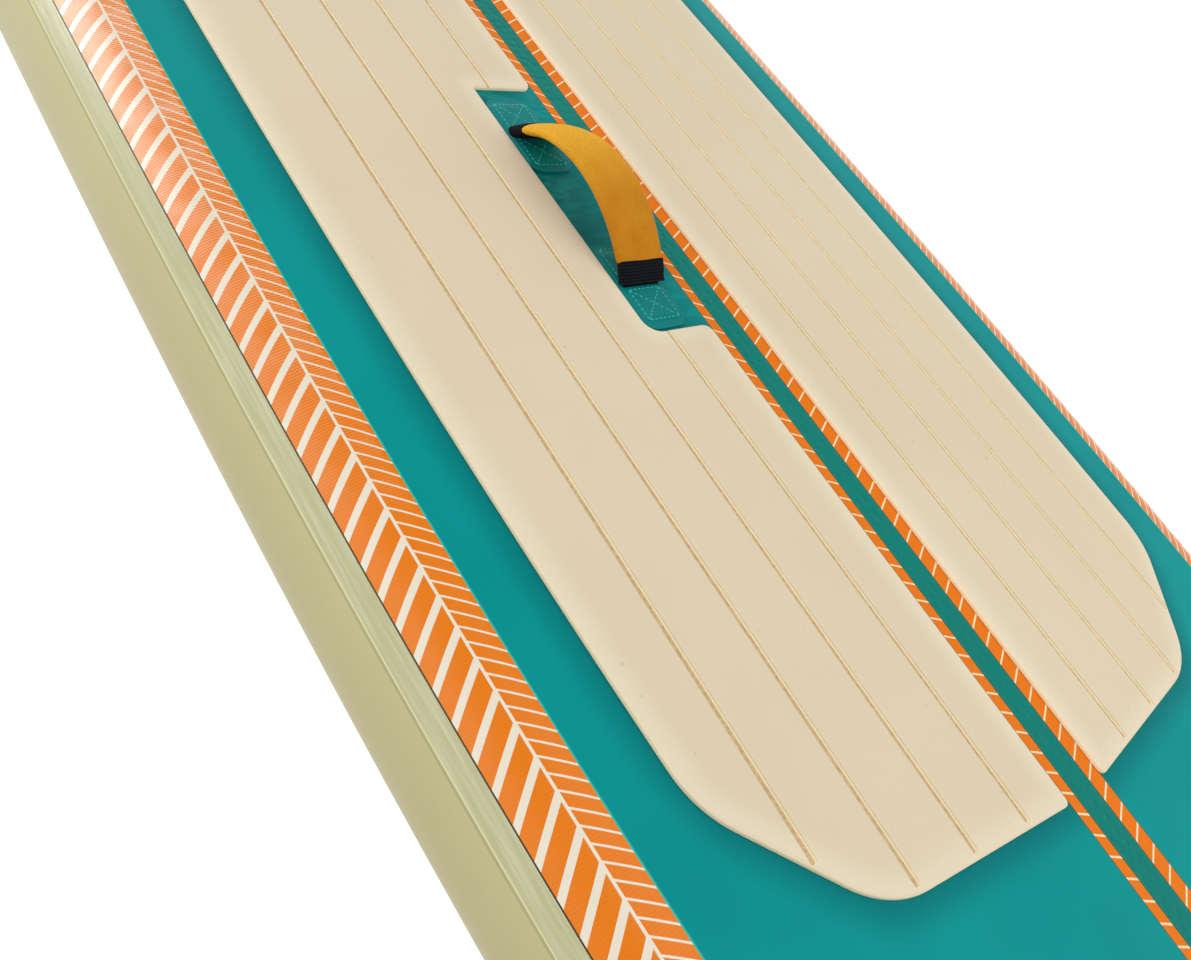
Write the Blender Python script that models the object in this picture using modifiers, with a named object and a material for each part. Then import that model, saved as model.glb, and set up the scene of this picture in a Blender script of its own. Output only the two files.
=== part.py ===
"""Inflatable stand-up paddle board: drop-stitch hull, grooved deck pads, carry handle, valve, fins and rings.

Metres. +X runs to the nose, +Y to port and +Z up. The origin is on the flat of the underside, at mid-length.
"""

from math import asin, atan, ceil, cos, pi, radians, sin, sqrt

import bmesh
import bpy
from mathutils import Matrix, Vector

# Clearance between pieces that touch
GAP = 0.0003

# Hull outline, seen from above
HULL_LENGTH = 3.200
HULL_THICKNESS = 0.127
FLAT_HALF_WIDTH = 0.3494
WIDEST_X = -0.22
NOSE_FULLNESS = 2.65
TAIL_FULLNESS = 3.0
SECTIONS_PER_SIDE = 32

# Rocker: how far the ends rise, and where the rise starts
NOSE_LIFT = 0.18
NOSE_LIFT_LENGTH = 0.90
TAIL_LIFT = 0.012
TAIL_LIFT_LENGTH = 0.20

# Laminate, from the outside inwards
OUTER_LAYER = 0.0008
SKIN_LAYER = 0.0009
INNER_LAYER = 0.0008
SEAM_ANGLE = radians(42)
SKIN_EDGE_ANGLE = radians(56)
INNER_EDGE_ANGLE = radians(28)
EDGE_STEP = radians(14)
SIDE_STEPS = 4

# Drop-stitch yarns
YARN_RADIUS = 0.0009
YARN_VALVE_CLEARANCE = 0.015
YARN_ROW_SPACING = 0.088
YARN_ROWS_PER_SIDE = 3
YARN_PITCH = 0.130
YARN_STITCH = 0.005
YARN_EDGE_CLEARANCE = 0.075

# Patches over the joints of the rails
JOINT_PATCH = 0.0008
JOINT_PATCH_SECTION_COUNT = 2

# Deck pads
PAD_THICKNESS = 0.0042
PAD_INNER_EDGE = 0.0255
PAD_EDGE_INSET = 0.046
PAD_FRONT_FROM_NOSE = 1.029
PAD_REAR_FROM_TAIL = 0.485
PAD_SHOULDER_LENGTH = 0.0185
PAD_SHOULDER_HALF_WIDTH = 0.209
PAD_CORNER_LENGTH = 0.117
PAD_CORNER_RADIUS = 0.076
PAD_TIP_RADIUS = 0.0045
GROOVE_WIDTH = 0.0045
GROOVE_DEPTH = 0.0012
GROOVE_FIRST = 0.0725
GROOVE_SPACING = 0.056
GROOVE_COUNT = 4
GROOVE_END = 0.012

# Carry handle, its patches and its cut-out in the starboard pad
HANDLE_Y = -0.066
NOTCH_FRONT_CLEARANCE = 0.0035
NOTCH_REAR_CLEARANCE = 0.0145
NOTCH_SIDE_CLEARANCE = 0.001
NOTCH_FRONT_RADIUS = 0.014
NOTCH_MOUTH_RADIUS = 0.009
NOTCH_REAR_RADIUS = 0.002
HANDLE_HALF_SPAN = 0.0895
HANDLE_HEIGHT = 0.0455
HANDLE_ROOT_HEIGHT = 0.0045
WEBBING_WIDTH = 0.038
WEBBING_THICKNESS = 0.0024
SLEEVE_WIDTH = 0.056
SLEEVE_END_WIDTH = 0.047
SLEEVE_WALL = 0.0032
BINDING_LENGTH = 0.011
BINDING_CLEARANCE = 0.003
ROOT_CLEARANCE = 0.0015
BINDING_WALL = 0.0016
PATCH_LENGTH = 0.092
PATCH_WIDTH = 0.046
PATCH_CORNER_RADIUS = 0.012
PATCH_LAYER = 0.0008
FOOT_LENGTH = 0.070
FOOT_THICKNESS = 0.0012

# Inflation valve, on the centreline behind the pads
VALVE_FROM_TAIL = 0.395
VALVE_FLANGE_RADIUS = 0.030
VALVE_FLANGE_THICKNESS = 0.0025
VALVE_BARREL_RADIUS = 0.0220
VALVE_BORE_RADIUS = 0.0175
VALVE_SEAT_RADIUS = 0.0120
VALVE_DEPTH = 0.030
VALVE_SEAT_THICKNESS = 0.004
VALVE_HUB_RADIUS = 0.0050
VALVE_HUB_DEPTH = 0.022
VALVE_ARM_WIDTH = 0.0030
VALVE_ARM_COUNT = 3
BACK_NUT_RADIUS = 0.0290
BACK_NUT_HEIGHT = 0.007
STEM_RADIUS = 0.0020
STEM_HEAD_RADIUS = 0.0062
STEM_HEAD_HEIGHT = 0.0025
STEM_HEAD_DEPTH = 0.0090
STEM_TRAVEL = 0.005
SEAL_RADIUS = 0.0155
SEAL_THICKNESS = 0.0022
SPRING_WIRE_RADIUS = 0.0004
SPRING_RADIUS = 0.0036
SPRING_TURNS = 4
CAP_RADIUS = 0.0270
CAP_THICKNESS = 0.0030
CAP_SKIRT_DEPTH = 0.0050
CAP_SKIRT_WALL = 0.0020
CAP_GRIP_HEIGHT = 0.0055
CAP_GRIP_WIDTH = 0.0060

# Centre fin and its box
FIN_BOX_FROM_TAIL = 0.420
FIN_BOX_LENGTH = 0.240
FIN_BOX_WIDTH = 0.030
FIN_BOX_HEIGHT = 0.018
FIN_FLANGE_LENGTH = 0.290
FIN_FLANGE_WIDTH = 0.064
FIN_FLANGE_THICKNESS = 0.0025
FIN_PATCH_MARGIN = 0.022
SLOT_LENGTH = 0.220
SLOT_WIDTH = 0.0098
SLOT_DEPTH = 0.014
GROOVE_IN_SLOT_WIDTH = 0.0160
GROOVE_IN_SLOT_START = 0.0080
GROOVE_IN_SLOT_HEIGHT = 0.0036
FIN_SIDE_CLEARANCE = 0.0003
TAB_LENGTH = 0.150
TONGUE_LENGTH = 0.025
TONGUE_START = 0.0035
FIN_DEPTH = 0.200
FIN_CHORD = 0.140
FIN_SWEEP = 0.100
FIN_THICKNESS = 0.0085
CROSS_PIN_RADIUS = 0.0015
CROSS_PIN_INSET = 0.010
FIN_SCREW_RADIUS = 0.0019
FIN_SCREW_HEAD_RADIUS = 0.0040
FIN_SCREW_HEAD_HEIGHT = 0.0025
NUT_PLATE_LENGTH = 0.014
NUT_PLATE_HOLE_CLEARANCE = 0.0003

# Side fins
SIDE_FIN_FROM_TAIL = 0.480
SIDE_FIN_Y = 0.190
SIDE_FIN_DEPTH = 0.105
SIDE_FIN_CHORD = 0.095
SIDE_FIN_SWEEP = 0.045
SIDE_FIN_THICKNESS = 0.006
SIDE_FIN_BASE_LENGTH = 0.150
SIDE_FIN_BASE_WIDTH = 0.050
SIDE_FIN_BASE_THICKNESS = 0.0025

# Rings for the cargo cord and the leash
RING_WIRE_RADIUS = 0.0020
RING_BAR_HALF = 0.013
RING_SIDE = 0.006
RING_PATCH_RADIUS = 0.036
RING_PATCH_LAYER = 0.0008
LOOP_WIDTH = 0.020
LOOP_LAYER = 0.0012
LOOP_FOOT = 0.024
LOOP_SET_BACK = 0.004
CARGO_RING_FRONT_FROM_NOSE = 0.520
CARGO_RING_REAR_FROM_NOSE = 0.760
CARGO_RING_INSET = 0.080
LEASH_RING_BEHIND_VALVE = 0.155

NOSE_X = HULL_LENGTH / 2
TAIL_X = -HULL_LENGTH / 2
NOSE_LIFT_START = NOSE_X - NOSE_LIFT_LENGTH
TAIL_LIFT_START = TAIL_X + TAIL_LIFT_LENGTH
PAD_FRONT_X = NOSE_X - PAD_FRONT_FROM_NOSE
PAD_REAR_X = TAIL_X + PAD_REAR_FROM_TAIL
VALVE_X = TAIL_X + VALVE_FROM_TAIL
FIN_BOX_X = TAIL_X + FIN_BOX_FROM_TAIL
SIDE_FIN_X = TAIL_X + SIDE_FIN_FROM_TAIL
CARGO_RING_FRONT_X = NOSE_X - CARGO_RING_FRONT_FROM_NOSE
CARGO_RING_REAR_X = NOSE_X - CARGO_RING_REAR_FROM_NOSE
LEASH_RING_X = VALVE_X - LEASH_RING_BEHIND_VALVE
DECK_Z = HULL_THICKNESS
NOTCH_FRONT_X = HANDLE_HALF_SPAN + PATCH_LENGTH / 2 + NOTCH_FRONT_CLEARANCE
NOTCH_REAR_X = -HANDLE_HALF_SPAN - PATCH_LENGTH / 2 - NOTCH_REAR_CLEARANCE
NOTCH_OUTER_EDGE = PATCH_WIDTH / 2 - HANDLE_Y + NOTCH_SIDE_CLEARANCE
RAIL_RADIUS = HULL_THICKNESS / 2
SKIN_RADIUS = RAIL_RADIUS - OUTER_LAYER - GAP
INNER_RADIUS = SKIN_RADIUS - SKIN_LAYER - GAP
CAVITY_RADIUS = SKIN_RADIUS - SKIN_LAYER - GAP

parts = bpy.data.collections.new("paddle_board")
cutters = bpy.data.collections.new("cutters")


def clear_scene():
    for item in list(bpy.data.objects):
        bpy.data.objects.remove(item, do_unlink=True)
    bpy.context.scene.collection.children.link(parts)
    bpy.context.scene.collection.children.link(cutters)


def material(name, colour, roughness, metallic=0.0):
    made = bpy.data.materials.new(name)
    made.use_nodes = True
    shader = made.node_tree.nodes["Principled BSDF"]
    shader.inputs["Base Color"].default_value = (*colour, 1.0)
    shader.inputs["Roughness"].default_value = roughness
    shader.inputs["Metallic"].default_value = metallic
    return made


def finish(item, finish_material, smooth_angle=None):
    item.data.materials.clear()
    item.data.materials.append(finish_material)
    if smooth_angle is not None and item.type == "MESH":
        item.data.shade_smooth()
        item.data.set_sharp_from_angle(angle=smooth_angle)
    return item


def new_object(name, mesh, home=parts):
    item = bpy.data.objects.new(name, mesh)
    home.objects.link(item)
    if home is cutters:
        item.hide_render = True
        item.display_type = "WIRE"
    return item


def mesh_of(built, name):
    mesh = bpy.data.meshes.new(name)
    built.to_mesh(mesh)
    built.free()
    return mesh


def boolean(item, operation, other):
    modifier = item.modifiers.new(operation.lower(), "BOOLEAN")
    modifier.operation = operation
    modifier.solver = "EXACT"
    modifier.object = other


def block(name, low, high, home=parts):
    """A box between two corners."""
    built = bmesh.new()
    bmesh.ops.create_cube(built, size=1.0)
    low, high = Vector(low), Vector(high)
    for vertex in built.verts:
        vertex.co = [low[k] + (vertex.co[k] + 0.5) * (high[k] - low[k]) for k in range(3)]
    return new_object(name, mesh_of(built, name), home)


def rod(name, start, end, radius, sides=24, home=parts):
    """A cylinder from start to end."""
    start, end = Vector(start), Vector(end)
    built = bmesh.new()
    length = (end - start).length
    bmesh.ops.create_cone(
        built, cap_ends=True, segments=sides, radius1=radius, radius2=radius, depth=length
    )
    turn = (end - start).to_track_quat("Z", "Y").to_matrix().to_4x4()
    bmesh.ops.transform(built, matrix=Matrix.Translation((start + end) / 2) @ turn, verts=built.verts)
    return new_object(name, mesh_of(built, name), home)


def turned(name, profile, steps=32, home=parts):
    """A profile of (radius, height) points, run round the local Z axis by a Screw."""
    built = bmesh.new()
    points = [built.verts.new((radius, 0, height)) for radius, height in profile]
    for first, second in zip(points, points[1:]):
        built.edges.new((first, second))
    if profile[0][0] > 0:
        built.edges.new((points[-1], points[0]))
    item = new_object(name, mesh_of(built, name), home)
    screw = item.modifiers.new("turn", "SCREW")
    screw.steps = screw.render_steps = steps
    screw.use_merge_vertices = True
    screw.merge_threshold = 0.00001
    return item


def flat_shape(name, outlines, thickness, home=parts):
    """Closed outlines of (x, y) points filled and given a thickness, from z = 0 upwards."""
    curve = bpy.data.curves.new(name, "CURVE")
    curve.dimensions = "2D"
    curve.fill_mode = "BOTH"
    curve.extrude = thickness / 2
    for outline in outlines:
        spline = curve.splines.new("POLY")
        spline.points.add(len(outline) - 1)
        for point, place in zip(spline.points, outline):
            point.co = (place[0], place[1], 0, 1)
        spline.use_cyclic_u = True
    guide = bpy.data.objects.new(name + "_outline", curve)
    bpy.context.scene.collection.objects.link(guide)
    bpy.context.view_layer.update()
    graph = bpy.context.evaluated_depsgraph_get()
    mesh = bpy.data.meshes.new_from_object(guide.evaluated_get(graph))
    bpy.data.objects.remove(guide, do_unlink=True)
    built = bmesh.new()
    built.from_mesh(mesh)
    bmesh.ops.remove_doubles(built, verts=built.verts, dist=0.00001)
    bmesh.ops.translate(built, verts=built.verts, vec=(0, 0, thickness / 2))
    built.to_mesh(mesh)
    built.free()
    return new_object(name, mesh, home)


def tube(name, points, radius, resolution, cyclic=False, home=parts):
    """A round tube along a list of points."""
    curve = bpy.data.curves.new(name, "CURVE")
    curve.dimensions = "3D"
    curve.bevel_depth = radius
    curve.bevel_resolution = resolution
    curve.use_fill_caps = not cyclic
    spline = curve.splines.new("POLY")
    spline.points.add(len(points) - 1)
    for point, place in zip(spline.points, points):
        point.co = (*place, 1)
    spline.use_cyclic_u = cyclic
    return new_object(name, curve, home)


def rounded(corners, segments=6):
    """A closed outline whose (x, y, radius) corners are rounded."""
    outline = []
    for index, (x, y, radius) in enumerate(corners):
        here = Vector((x, y))
        before = (Vector(corners[index - 1][:2]) - here).normalized()
        after = (Vector(corners[(index + 1) % len(corners)][:2]) - here).normalized()
        half = before.angle(after) / 2
        if radius <= 0 or half > pi / 2 - 0.02:
            outline.append((x, y))
            continue
        middle = here + (before + after).normalized() * (radius / sin(half))
        start = here + before * (radius / (sin(half) / cos(half))) - middle
        end = here + after * (radius / (sin(half) / cos(half))) - middle
        sweep = start.angle_signed(end)
        for step in range(segments + 1):
            turn = -sweep * step / segments
            outline.append(
                (
                    middle.x + start.x * cos(turn) - start.y * sin(turn),
                    middle.y + start.x * sin(turn) + start.y * cos(turn),
                )
            )
    return outline


# Hull form


def flat_half_width(x):
    """Half-width of the flat deck at a station."""
    if x >= WIDEST_X:
        reach, fullness = HULL_LENGTH / 2 - RAIL_RADIUS - WIDEST_X, NOSE_FULLNESS
    else:
        reach, fullness = HULL_LENGTH / 2 - RAIL_RADIUS + WIDEST_X, TAIL_FULLNESS
    share = min(abs(x - WIDEST_X) / reach, 1.0)
    return FLAT_HALF_WIDTH * sqrt(1 - share**fullness)


def rocker(x):
    if x > NOSE_LIFT_START:
        return NOSE_LIFT * ((x - NOSE_LIFT_START) / NOSE_LIFT_LENGTH) ** 2
    if x < TAIL_LIFT_START:
        return TAIL_LIFT * ((TAIL_LIFT_START - x) / TAIL_LIFT_LENGTH) ** 2
    return 0.0


def section(index):
    """(place, outward direction, lift) of one section. Index 0 is the nose, and port comes first."""
    turn = pi * index / SECTIONS_PER_SIDE
    along, across = cos(turn), sin(turn)
    if index % SECTIONS_PER_SIDE == 0:
        across = 0.0
    fullness = NOSE_FULLNESS if along > 0 else TAIL_FULLNESS
    end = HULL_LENGTH / 2 - RAIL_RADIUS
    reach = end - WIDEST_X if along > 0 else end + WIDEST_X
    if abs(along) < 1e-6:
        return Vector((WIDEST_X, FLAT_HALF_WIDTH * across)), Vector((0, across)), rocker(WIDEST_X)
    power = 2 / fullness
    size = abs(along)
    x = WIDEST_X + reach * size**power * (1 if along > 0 else -1)
    place = Vector((x, FLAT_HALF_WIDTH * across))
    slope_x = -reach * power * size ** (power - 1) * across
    slope_y = FLAT_HALF_WIDTH * along
    return place, Vector((slope_y, -slope_x)).normalized(), rocker(x)


stations = [section(index) for index in range(SECTIONS_PER_SIDE + 1)]


def deck_plane(x):
    """(middle of the flat facet at a station, its height above the unlifted deck, its slope)."""
    for (front, _, front_lift), (rear, _, rear_lift) in zip(stations, stations[1:]):
        if rear.x <= x <= front.x:
            break
    slope = atan((front_lift - rear_lift) / (front.x - rear.x))
    return (front.x + rear.x) / 2, (front_lift + rear_lift) / 2, slope


def lift_at(x):
    for (front, _, front_lift), (rear, _, rear_lift) in zip(stations, stations[1:]):
        if rear.x <= x <= front.x:
            share = (x - rear.x) / (front.x - rear.x)
            return rear_lift + share * (front_lift - rear_lift)
    return stations[0][2] if x > 0 else stations[-1][2]


def rail_angles(first, last):
    """Angles from the top of the rail to its bottom that every layer shares."""
    step_count = round(SKIN_EDGE_ANGLE / EDGE_STEP)
    upper = [SKIN_EDGE_ANGLE * step / step_count for step in range(step_count + 1)]
    side = pi - 2 * SKIN_EDGE_ANGLE
    middle = [SKIN_EDGE_ANGLE + side * step / SIDE_STEPS for step in range(1, SIDE_STEPS)]
    lower = [pi - angle for angle in reversed(upper)]
    shared = upper + middle + lower
    inside = [angle for angle in shared if first + 1e-6 < angle < last - 1e-6]
    return [first] + inside + [last]


def layer(name, radius, thickness, first, last, indexes, end_gap=0.0):
    """A laminate layer that follows the rail from angle first to last, and the flat where it reaches it."""
    angles = rail_angles(first, last)
    built = bmesh.new()
    rows = []
    for index in indexes:
        place, outward, lift = section(index)
        side = 1 if index <= SECTIONS_PER_SIDE and index != 0 or index == indexes[0] == 0 else -1
        row = []
        for angle in angles:
            reach = radius * sin(angle)
            x, y = place.x + outward.x * reach, place.y + outward.y * reach
            if end_gap and index % SECTIONS_PER_SIDE == 0:
                y = end_gap if indexes[0] == 0 else -end_gap
            height = RAIL_RADIUS + radius * cos(angle) + lift
            row.append(built.verts.new((x, y, height)))
        rows.append(row)
    closed = not end_gap and len(indexes) == 2 * SECTIONS_PER_SIDE
    pairs = list(zip(rows, rows[1:])) + ([(rows[-1], rows[0])] if closed else [])
    for row, following in pairs:
        for k in range(len(angles) - 1):
            built.faces.new((row[k], row[k + 1], following[k + 1], following[k]))
    if closed and first == 0:
        fill_flat(built, [row[0] for row in rows], True)
    if closed and last == pi:
        fill_flat(built, [row[-1] for row in rows], False)
    item = new_object(name, mesh_of(built, name))
    solidify = item.modifiers.new("thickness", "SOLIDIFY")
    solidify.thickness = thickness
    solidify.offset = -1
    solidify.use_even_offset = True
    return item


def fill_flat(built, ring, upper):
    """Faces across the flat, from each port point to its starboard mate."""
    half = SECTIONS_PER_SIDE
    for index in range(half):
        corners = [ring[index], ring[index + 1], ring[-index - 1], ring[-index]]
        unique = [point for k, point in enumerate(corners) if point not in corners[:k]]
        built.faces.new(unique if upper else unique[::-1])


def all_round():
    return list(range(2 * SECTIONS_PER_SIDE))


def one_side(port):
    start = 0 if port else SECTIONS_PER_SIDE
    return list(range(start, start + SECTIONS_PER_SIDE + 1))


def make_hull(looks):
    deck_overlay = layer("deck_overlay", RAIL_RADIUS, OUTER_LAYER, 0, SEAM_ANGLE, all_round())
    hull_overlay = layer("hull_overlay", RAIL_RADIUS, OUTER_LAYER, pi - SEAM_ANGLE, pi, all_round())
    deck_skin = layer("deck_skin", SKIN_RADIUS, SKIN_LAYER, 0, SKIN_EDGE_ANGLE, all_round())
    hull_skin = layer("hull_skin", SKIN_RADIUS, SKIN_LAYER, pi - SKIN_EDGE_ANGLE, pi, all_round())
    seam_gap = GAP / RAIL_RADIUS
    for side in ("port", "starboard"):
        indexes = one_side(side == "port")
        outer = layer(
            "outer_rail_" + side,
            RAIL_RADIUS,
            OUTER_LAYER,
            SEAM_ANGLE + seam_gap,
            pi - SEAM_ANGLE - seam_gap,
            indexes,
            GAP,
        )
        inner = layer(
            "inner_rail_" + side,
            INNER_RADIUS,
            INNER_LAYER,
            INNER_EDGE_ANGLE,
            pi - INNER_EDGE_ANGLE,
            indexes,
            GAP,
        )
        finish(outer, looks["rail"])
        finish(inner, looks["rail"])
    valve_hole = rod(
        "valve_hole",
        (VALVE_X, 0, DECK_Z - VALVE_DEPTH / 2),
        (VALVE_X, 0, DECK_Z + VALVE_DEPTH / 2),
        VALVE_BARREL_RADIUS + GAP,
        32,
        cutters,
    )
    for item, look in ((deck_overlay, "deck"), (deck_skin, "fabric")):
        boolean(item, "DIFFERENCE", valve_hole)
        finish(item, looks[look])
    finish(hull_overlay, looks["hull"])
    finish(hull_skin, looks["fabric"])
    reach = JOINT_PATCH_SECTION_COUNT
    for name, centre in (("nose_joint_patch", 0), ("tail_joint_patch", SECTIONS_PER_SIDE)):
        indexes = [(centre + step) % (2 * SECTIONS_PER_SIDE) for step in range(-reach, reach + 1)]
        patch = layer(
            name, RAIL_RADIUS + GAP + JOINT_PATCH, JOINT_PATCH, SEAM_ANGLE, pi - SEAM_ANGLE, indexes
        )
        finish(patch, looks["rail"])


def make_yarns(looks):
    """One yarn that zigzags between the two skins, row after row, and crosses over along the hull skin."""
    low = RAIL_RADIUS - CAVITY_RADIUS + 1.3 * YARN_RADIUS
    high = RAIL_RADIUS + CAVITY_RADIUS - 1.3 * YARN_RADIUS
    end = HULL_LENGTH / 2 - RAIL_RADIUS
    count = 2 * ceil(end / YARN_PITCH)
    touches = [(step, -end + 2 * end * step / count) for step in range(count + 1)]
    points = []
    first_row = BACK_NUT_RADIUS + YARN_VALVE_CLEARANCE
    distances = [first_row + row * YARN_ROW_SPACING for row in range(YARN_ROWS_PER_SIDE)]
    for row, y in enumerate([-distance for distance in reversed(distances)] + distances):
        held = [touch for touch in touches if flat_half_width(touch[1]) > abs(y) + YARN_EDGE_CLEARANCE]
        held = held[held[0][0] % 2 : len(held) - held[-1][0] % 2]
        onward = 1
        if row % 2:
            held.reverse()
            onward = -1
        for step, x in held:
            for end_x in (x - onward * YARN_STITCH / 2, x + onward * YARN_STITCH / 2):
                points.append((end_x, y, (high if step % 2 else low) + lift_at(end_x)))
    yarn = tube("drop_stitch_yarns", points, YARN_RADIUS, 0)
    finish(yarn, looks["yarn"])


# Deck pads


def pad_front_edge(distance):
    """How far from the pad's end its edge lies, at a distance from the centreline."""
    if distance <= PAD_SHOULDER_HALF_WIDTH:
        share = (distance - PAD_INNER_EDGE) / (PAD_SHOULDER_HALF_WIDTH - PAD_INNER_EDGE)
        return PAD_SHOULDER_LENGTH * share
    outer = flat_half_width(PAD_FRONT_X - PAD_CORNER_LENGTH) - PAD_EDGE_INSET
    share = min((distance - PAD_SHOULDER_HALF_WIDTH) / (outer - PAD_SHOULDER_HALF_WIDTH), 1)
    return PAD_SHOULDER_LENGTH + (PAD_CORNER_LENGTH - PAD_SHOULDER_LENGTH) * share


def pad_outline(side, notched):
    """Corners of one pad as (x, y, radius), round from the inner front corner."""
    front_x, rear_x = PAD_FRONT_X - PAD_CORNER_LENGTH, PAD_REAR_X + PAD_CORNER_LENGTH
    corners = [
        (PAD_FRONT_X, PAD_INNER_EDGE, PAD_TIP_RADIUS),
        (PAD_FRONT_X - PAD_SHOULDER_LENGTH, PAD_SHOULDER_HALF_WIDTH, PAD_CORNER_RADIUS),
        (front_x, flat_half_width(front_x) - PAD_EDGE_INSET, PAD_CORNER_RADIUS),
    ]
    steps = 10
    for step in range(1, steps):
        x = front_x + (rear_x - front_x) * step / steps
        corners.append((x, flat_half_width(x) - PAD_EDGE_INSET, 0))
    corners += [
        (rear_x, flat_half_width(rear_x) - PAD_EDGE_INSET, PAD_CORNER_RADIUS),
        (PAD_REAR_X + PAD_SHOULDER_LENGTH, PAD_SHOULDER_HALF_WIDTH, PAD_CORNER_RADIUS),
        (PAD_REAR_X, PAD_INNER_EDGE, PAD_TIP_RADIUS),
    ]
    if notched:
        corners += [
            (NOTCH_REAR_X, PAD_INNER_EDGE, NOTCH_MOUTH_RADIUS),
            (NOTCH_REAR_X, NOTCH_OUTER_EDGE, NOTCH_REAR_RADIUS),
            (NOTCH_FRONT_X, NOTCH_OUTER_EDGE, NOTCH_FRONT_RADIUS),
            (NOTCH_FRONT_X, PAD_INNER_EDGE, NOTCH_MOUTH_RADIUS),
        ]
    outline = [(x, side * y, radius) for x, y, radius in corners]
    return rounded(outline if side > 0 else outline[::-1])


def make_pads(looks):
    top = DECK_Z + GAP + PAD_THICKNESS
    for name, side in (("deck_pad_port", 1), ("deck_pad_starboard", -1)):
        pad = flat_shape(name, [pad_outline(side, side < 0)], PAD_THICKNESS)
        pad.location = (0, 0, DECK_Z + GAP)
        for index in range(GROOVE_COUNT):
            distance = GROOVE_FIRST + index * GROOVE_SPACING
            setback = pad_front_edge(distance) + GROOVE_END
            groove = block(
                f"groove_{name}_{index + 1}",
                (PAD_REAR_X + setback, side * distance - GROOVE_WIDTH / 2, top - GROOVE_DEPTH),
                (PAD_FRONT_X - setback, side * distance + GROOVE_WIDTH / 2, top + GROOVE_DEPTH),
                cutters,
            )
            boolean(pad, "DIFFERENCE", groove)
        finish(pad, looks["pad"])


# Carry handle

ROOT_Z = DECK_Z + HANDLE_ROOT_HEIGHT
ARCH_RISE = HANDLE_HEIGHT - HANDLE_ROOT_HEIGHT
ARCH_RADIUS = (HANDLE_HALF_SPAN**2 + ARCH_RISE**2) / (2 * ARCH_RISE)
ARCH_ANGLE = asin(HANDLE_HALF_SPAN / ARCH_RADIUS)
ARCH_CENTRE_Z = DECK_Z + HANDLE_HEIGHT - ARCH_RADIUS


def arch_ring(built, angle, width, thickness, lozenge=False):
    """The corners of a strap's cross-section at an angle from the top of the arch."""
    along = Vector((cos(angle), 0, -sin(angle)))
    up = Vector((sin(angle), 0, cos(angle)))
    centre = Vector((ARCH_RADIUS * sin(angle), HANDLE_Y, ARCH_CENTRE_Z + ARCH_RADIUS * cos(angle)))
    side = up.cross(along)
    if lozenge:
        shape = [(-1, -0.35), (-0.86, -0.8), (-0.55, -1), (0, -1), (0.55, -1), (0.86, -0.8)]
        shape += [(1, -0.35), (1, 0.35), (0.86, 0.8), (0.55, 1), (0, 1), (-0.55, 1), (-0.86, 0.8), (-1, 0.35)]
    else:
        shape = [(-1, -1), (1, -1), (1, 1), (-1, 1)]
    return [built.verts.new(centre + side * (a * width / 2) + up * (b * thickness / 2)) for a, b in shape]


def strap(name, first, last, width_at, thickness, steps, bore=None, lozenge=False):
    """A strap or sleeve along the arch. A bore is the (width, thickness) of the hole through it."""
    built = bmesh.new()
    outer, inner = [], []
    for step in range(steps + 1):
        angle = first + (last - first) * step / steps
        outer.append(arch_ring(built, angle, width_at(angle), thickness, lozenge))
        if bore:
            inner.append(arch_ring(built, angle, bore[0], bore[1]))
    for rings in (outer, inner):
        for ring, following in zip(rings, rings[1:]):
            for k in range(len(ring)):
                built.faces.new((ring[k], ring[k - 1], following[k - 1], following[k]))
    for index in (0, -1):
        if bore:
            edges = [
                built.edges.get((ring[k], ring[k - 1]))
                for ring in (outer[index], inner[index])
                for k in range(len(ring))
            ]
            bmesh.ops.triangle_fill(built, edges=edges, use_beauty=True)
        else:
            built.faces.new(outer[index])
    bmesh.ops.recalc_face_normals(built, faces=built.faces)
    return new_object(name, mesh_of(built, name))


def sleeve_width(angle):
    share = abs(angle) / ARCH_ANGLE
    return SLEEVE_WIDTH - (SLEEVE_WIDTH - SLEEVE_END_WIDTH) * share**2


def handle_patch(name, x, low):
    """A glued patch with round corners that lies at a height."""
    half_length, half_width = PATCH_LENGTH / 2, PATCH_WIDTH / 2
    outline = rounded(
        [
            (x + half_length, HANDLE_Y - half_width, PATCH_CORNER_RADIUS),
            (x + half_length, HANDLE_Y + half_width, PATCH_CORNER_RADIUS),
            (x - half_length, HANDLE_Y + half_width, PATCH_CORNER_RADIUS),
            (x - half_length, HANDLE_Y - half_width, PATCH_CORNER_RADIUS),
        ],
        3,
    )
    patch = flat_shape(name, [outline], PATCH_LAYER)
    patch.location = (0, 0, low)
    return patch


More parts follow.
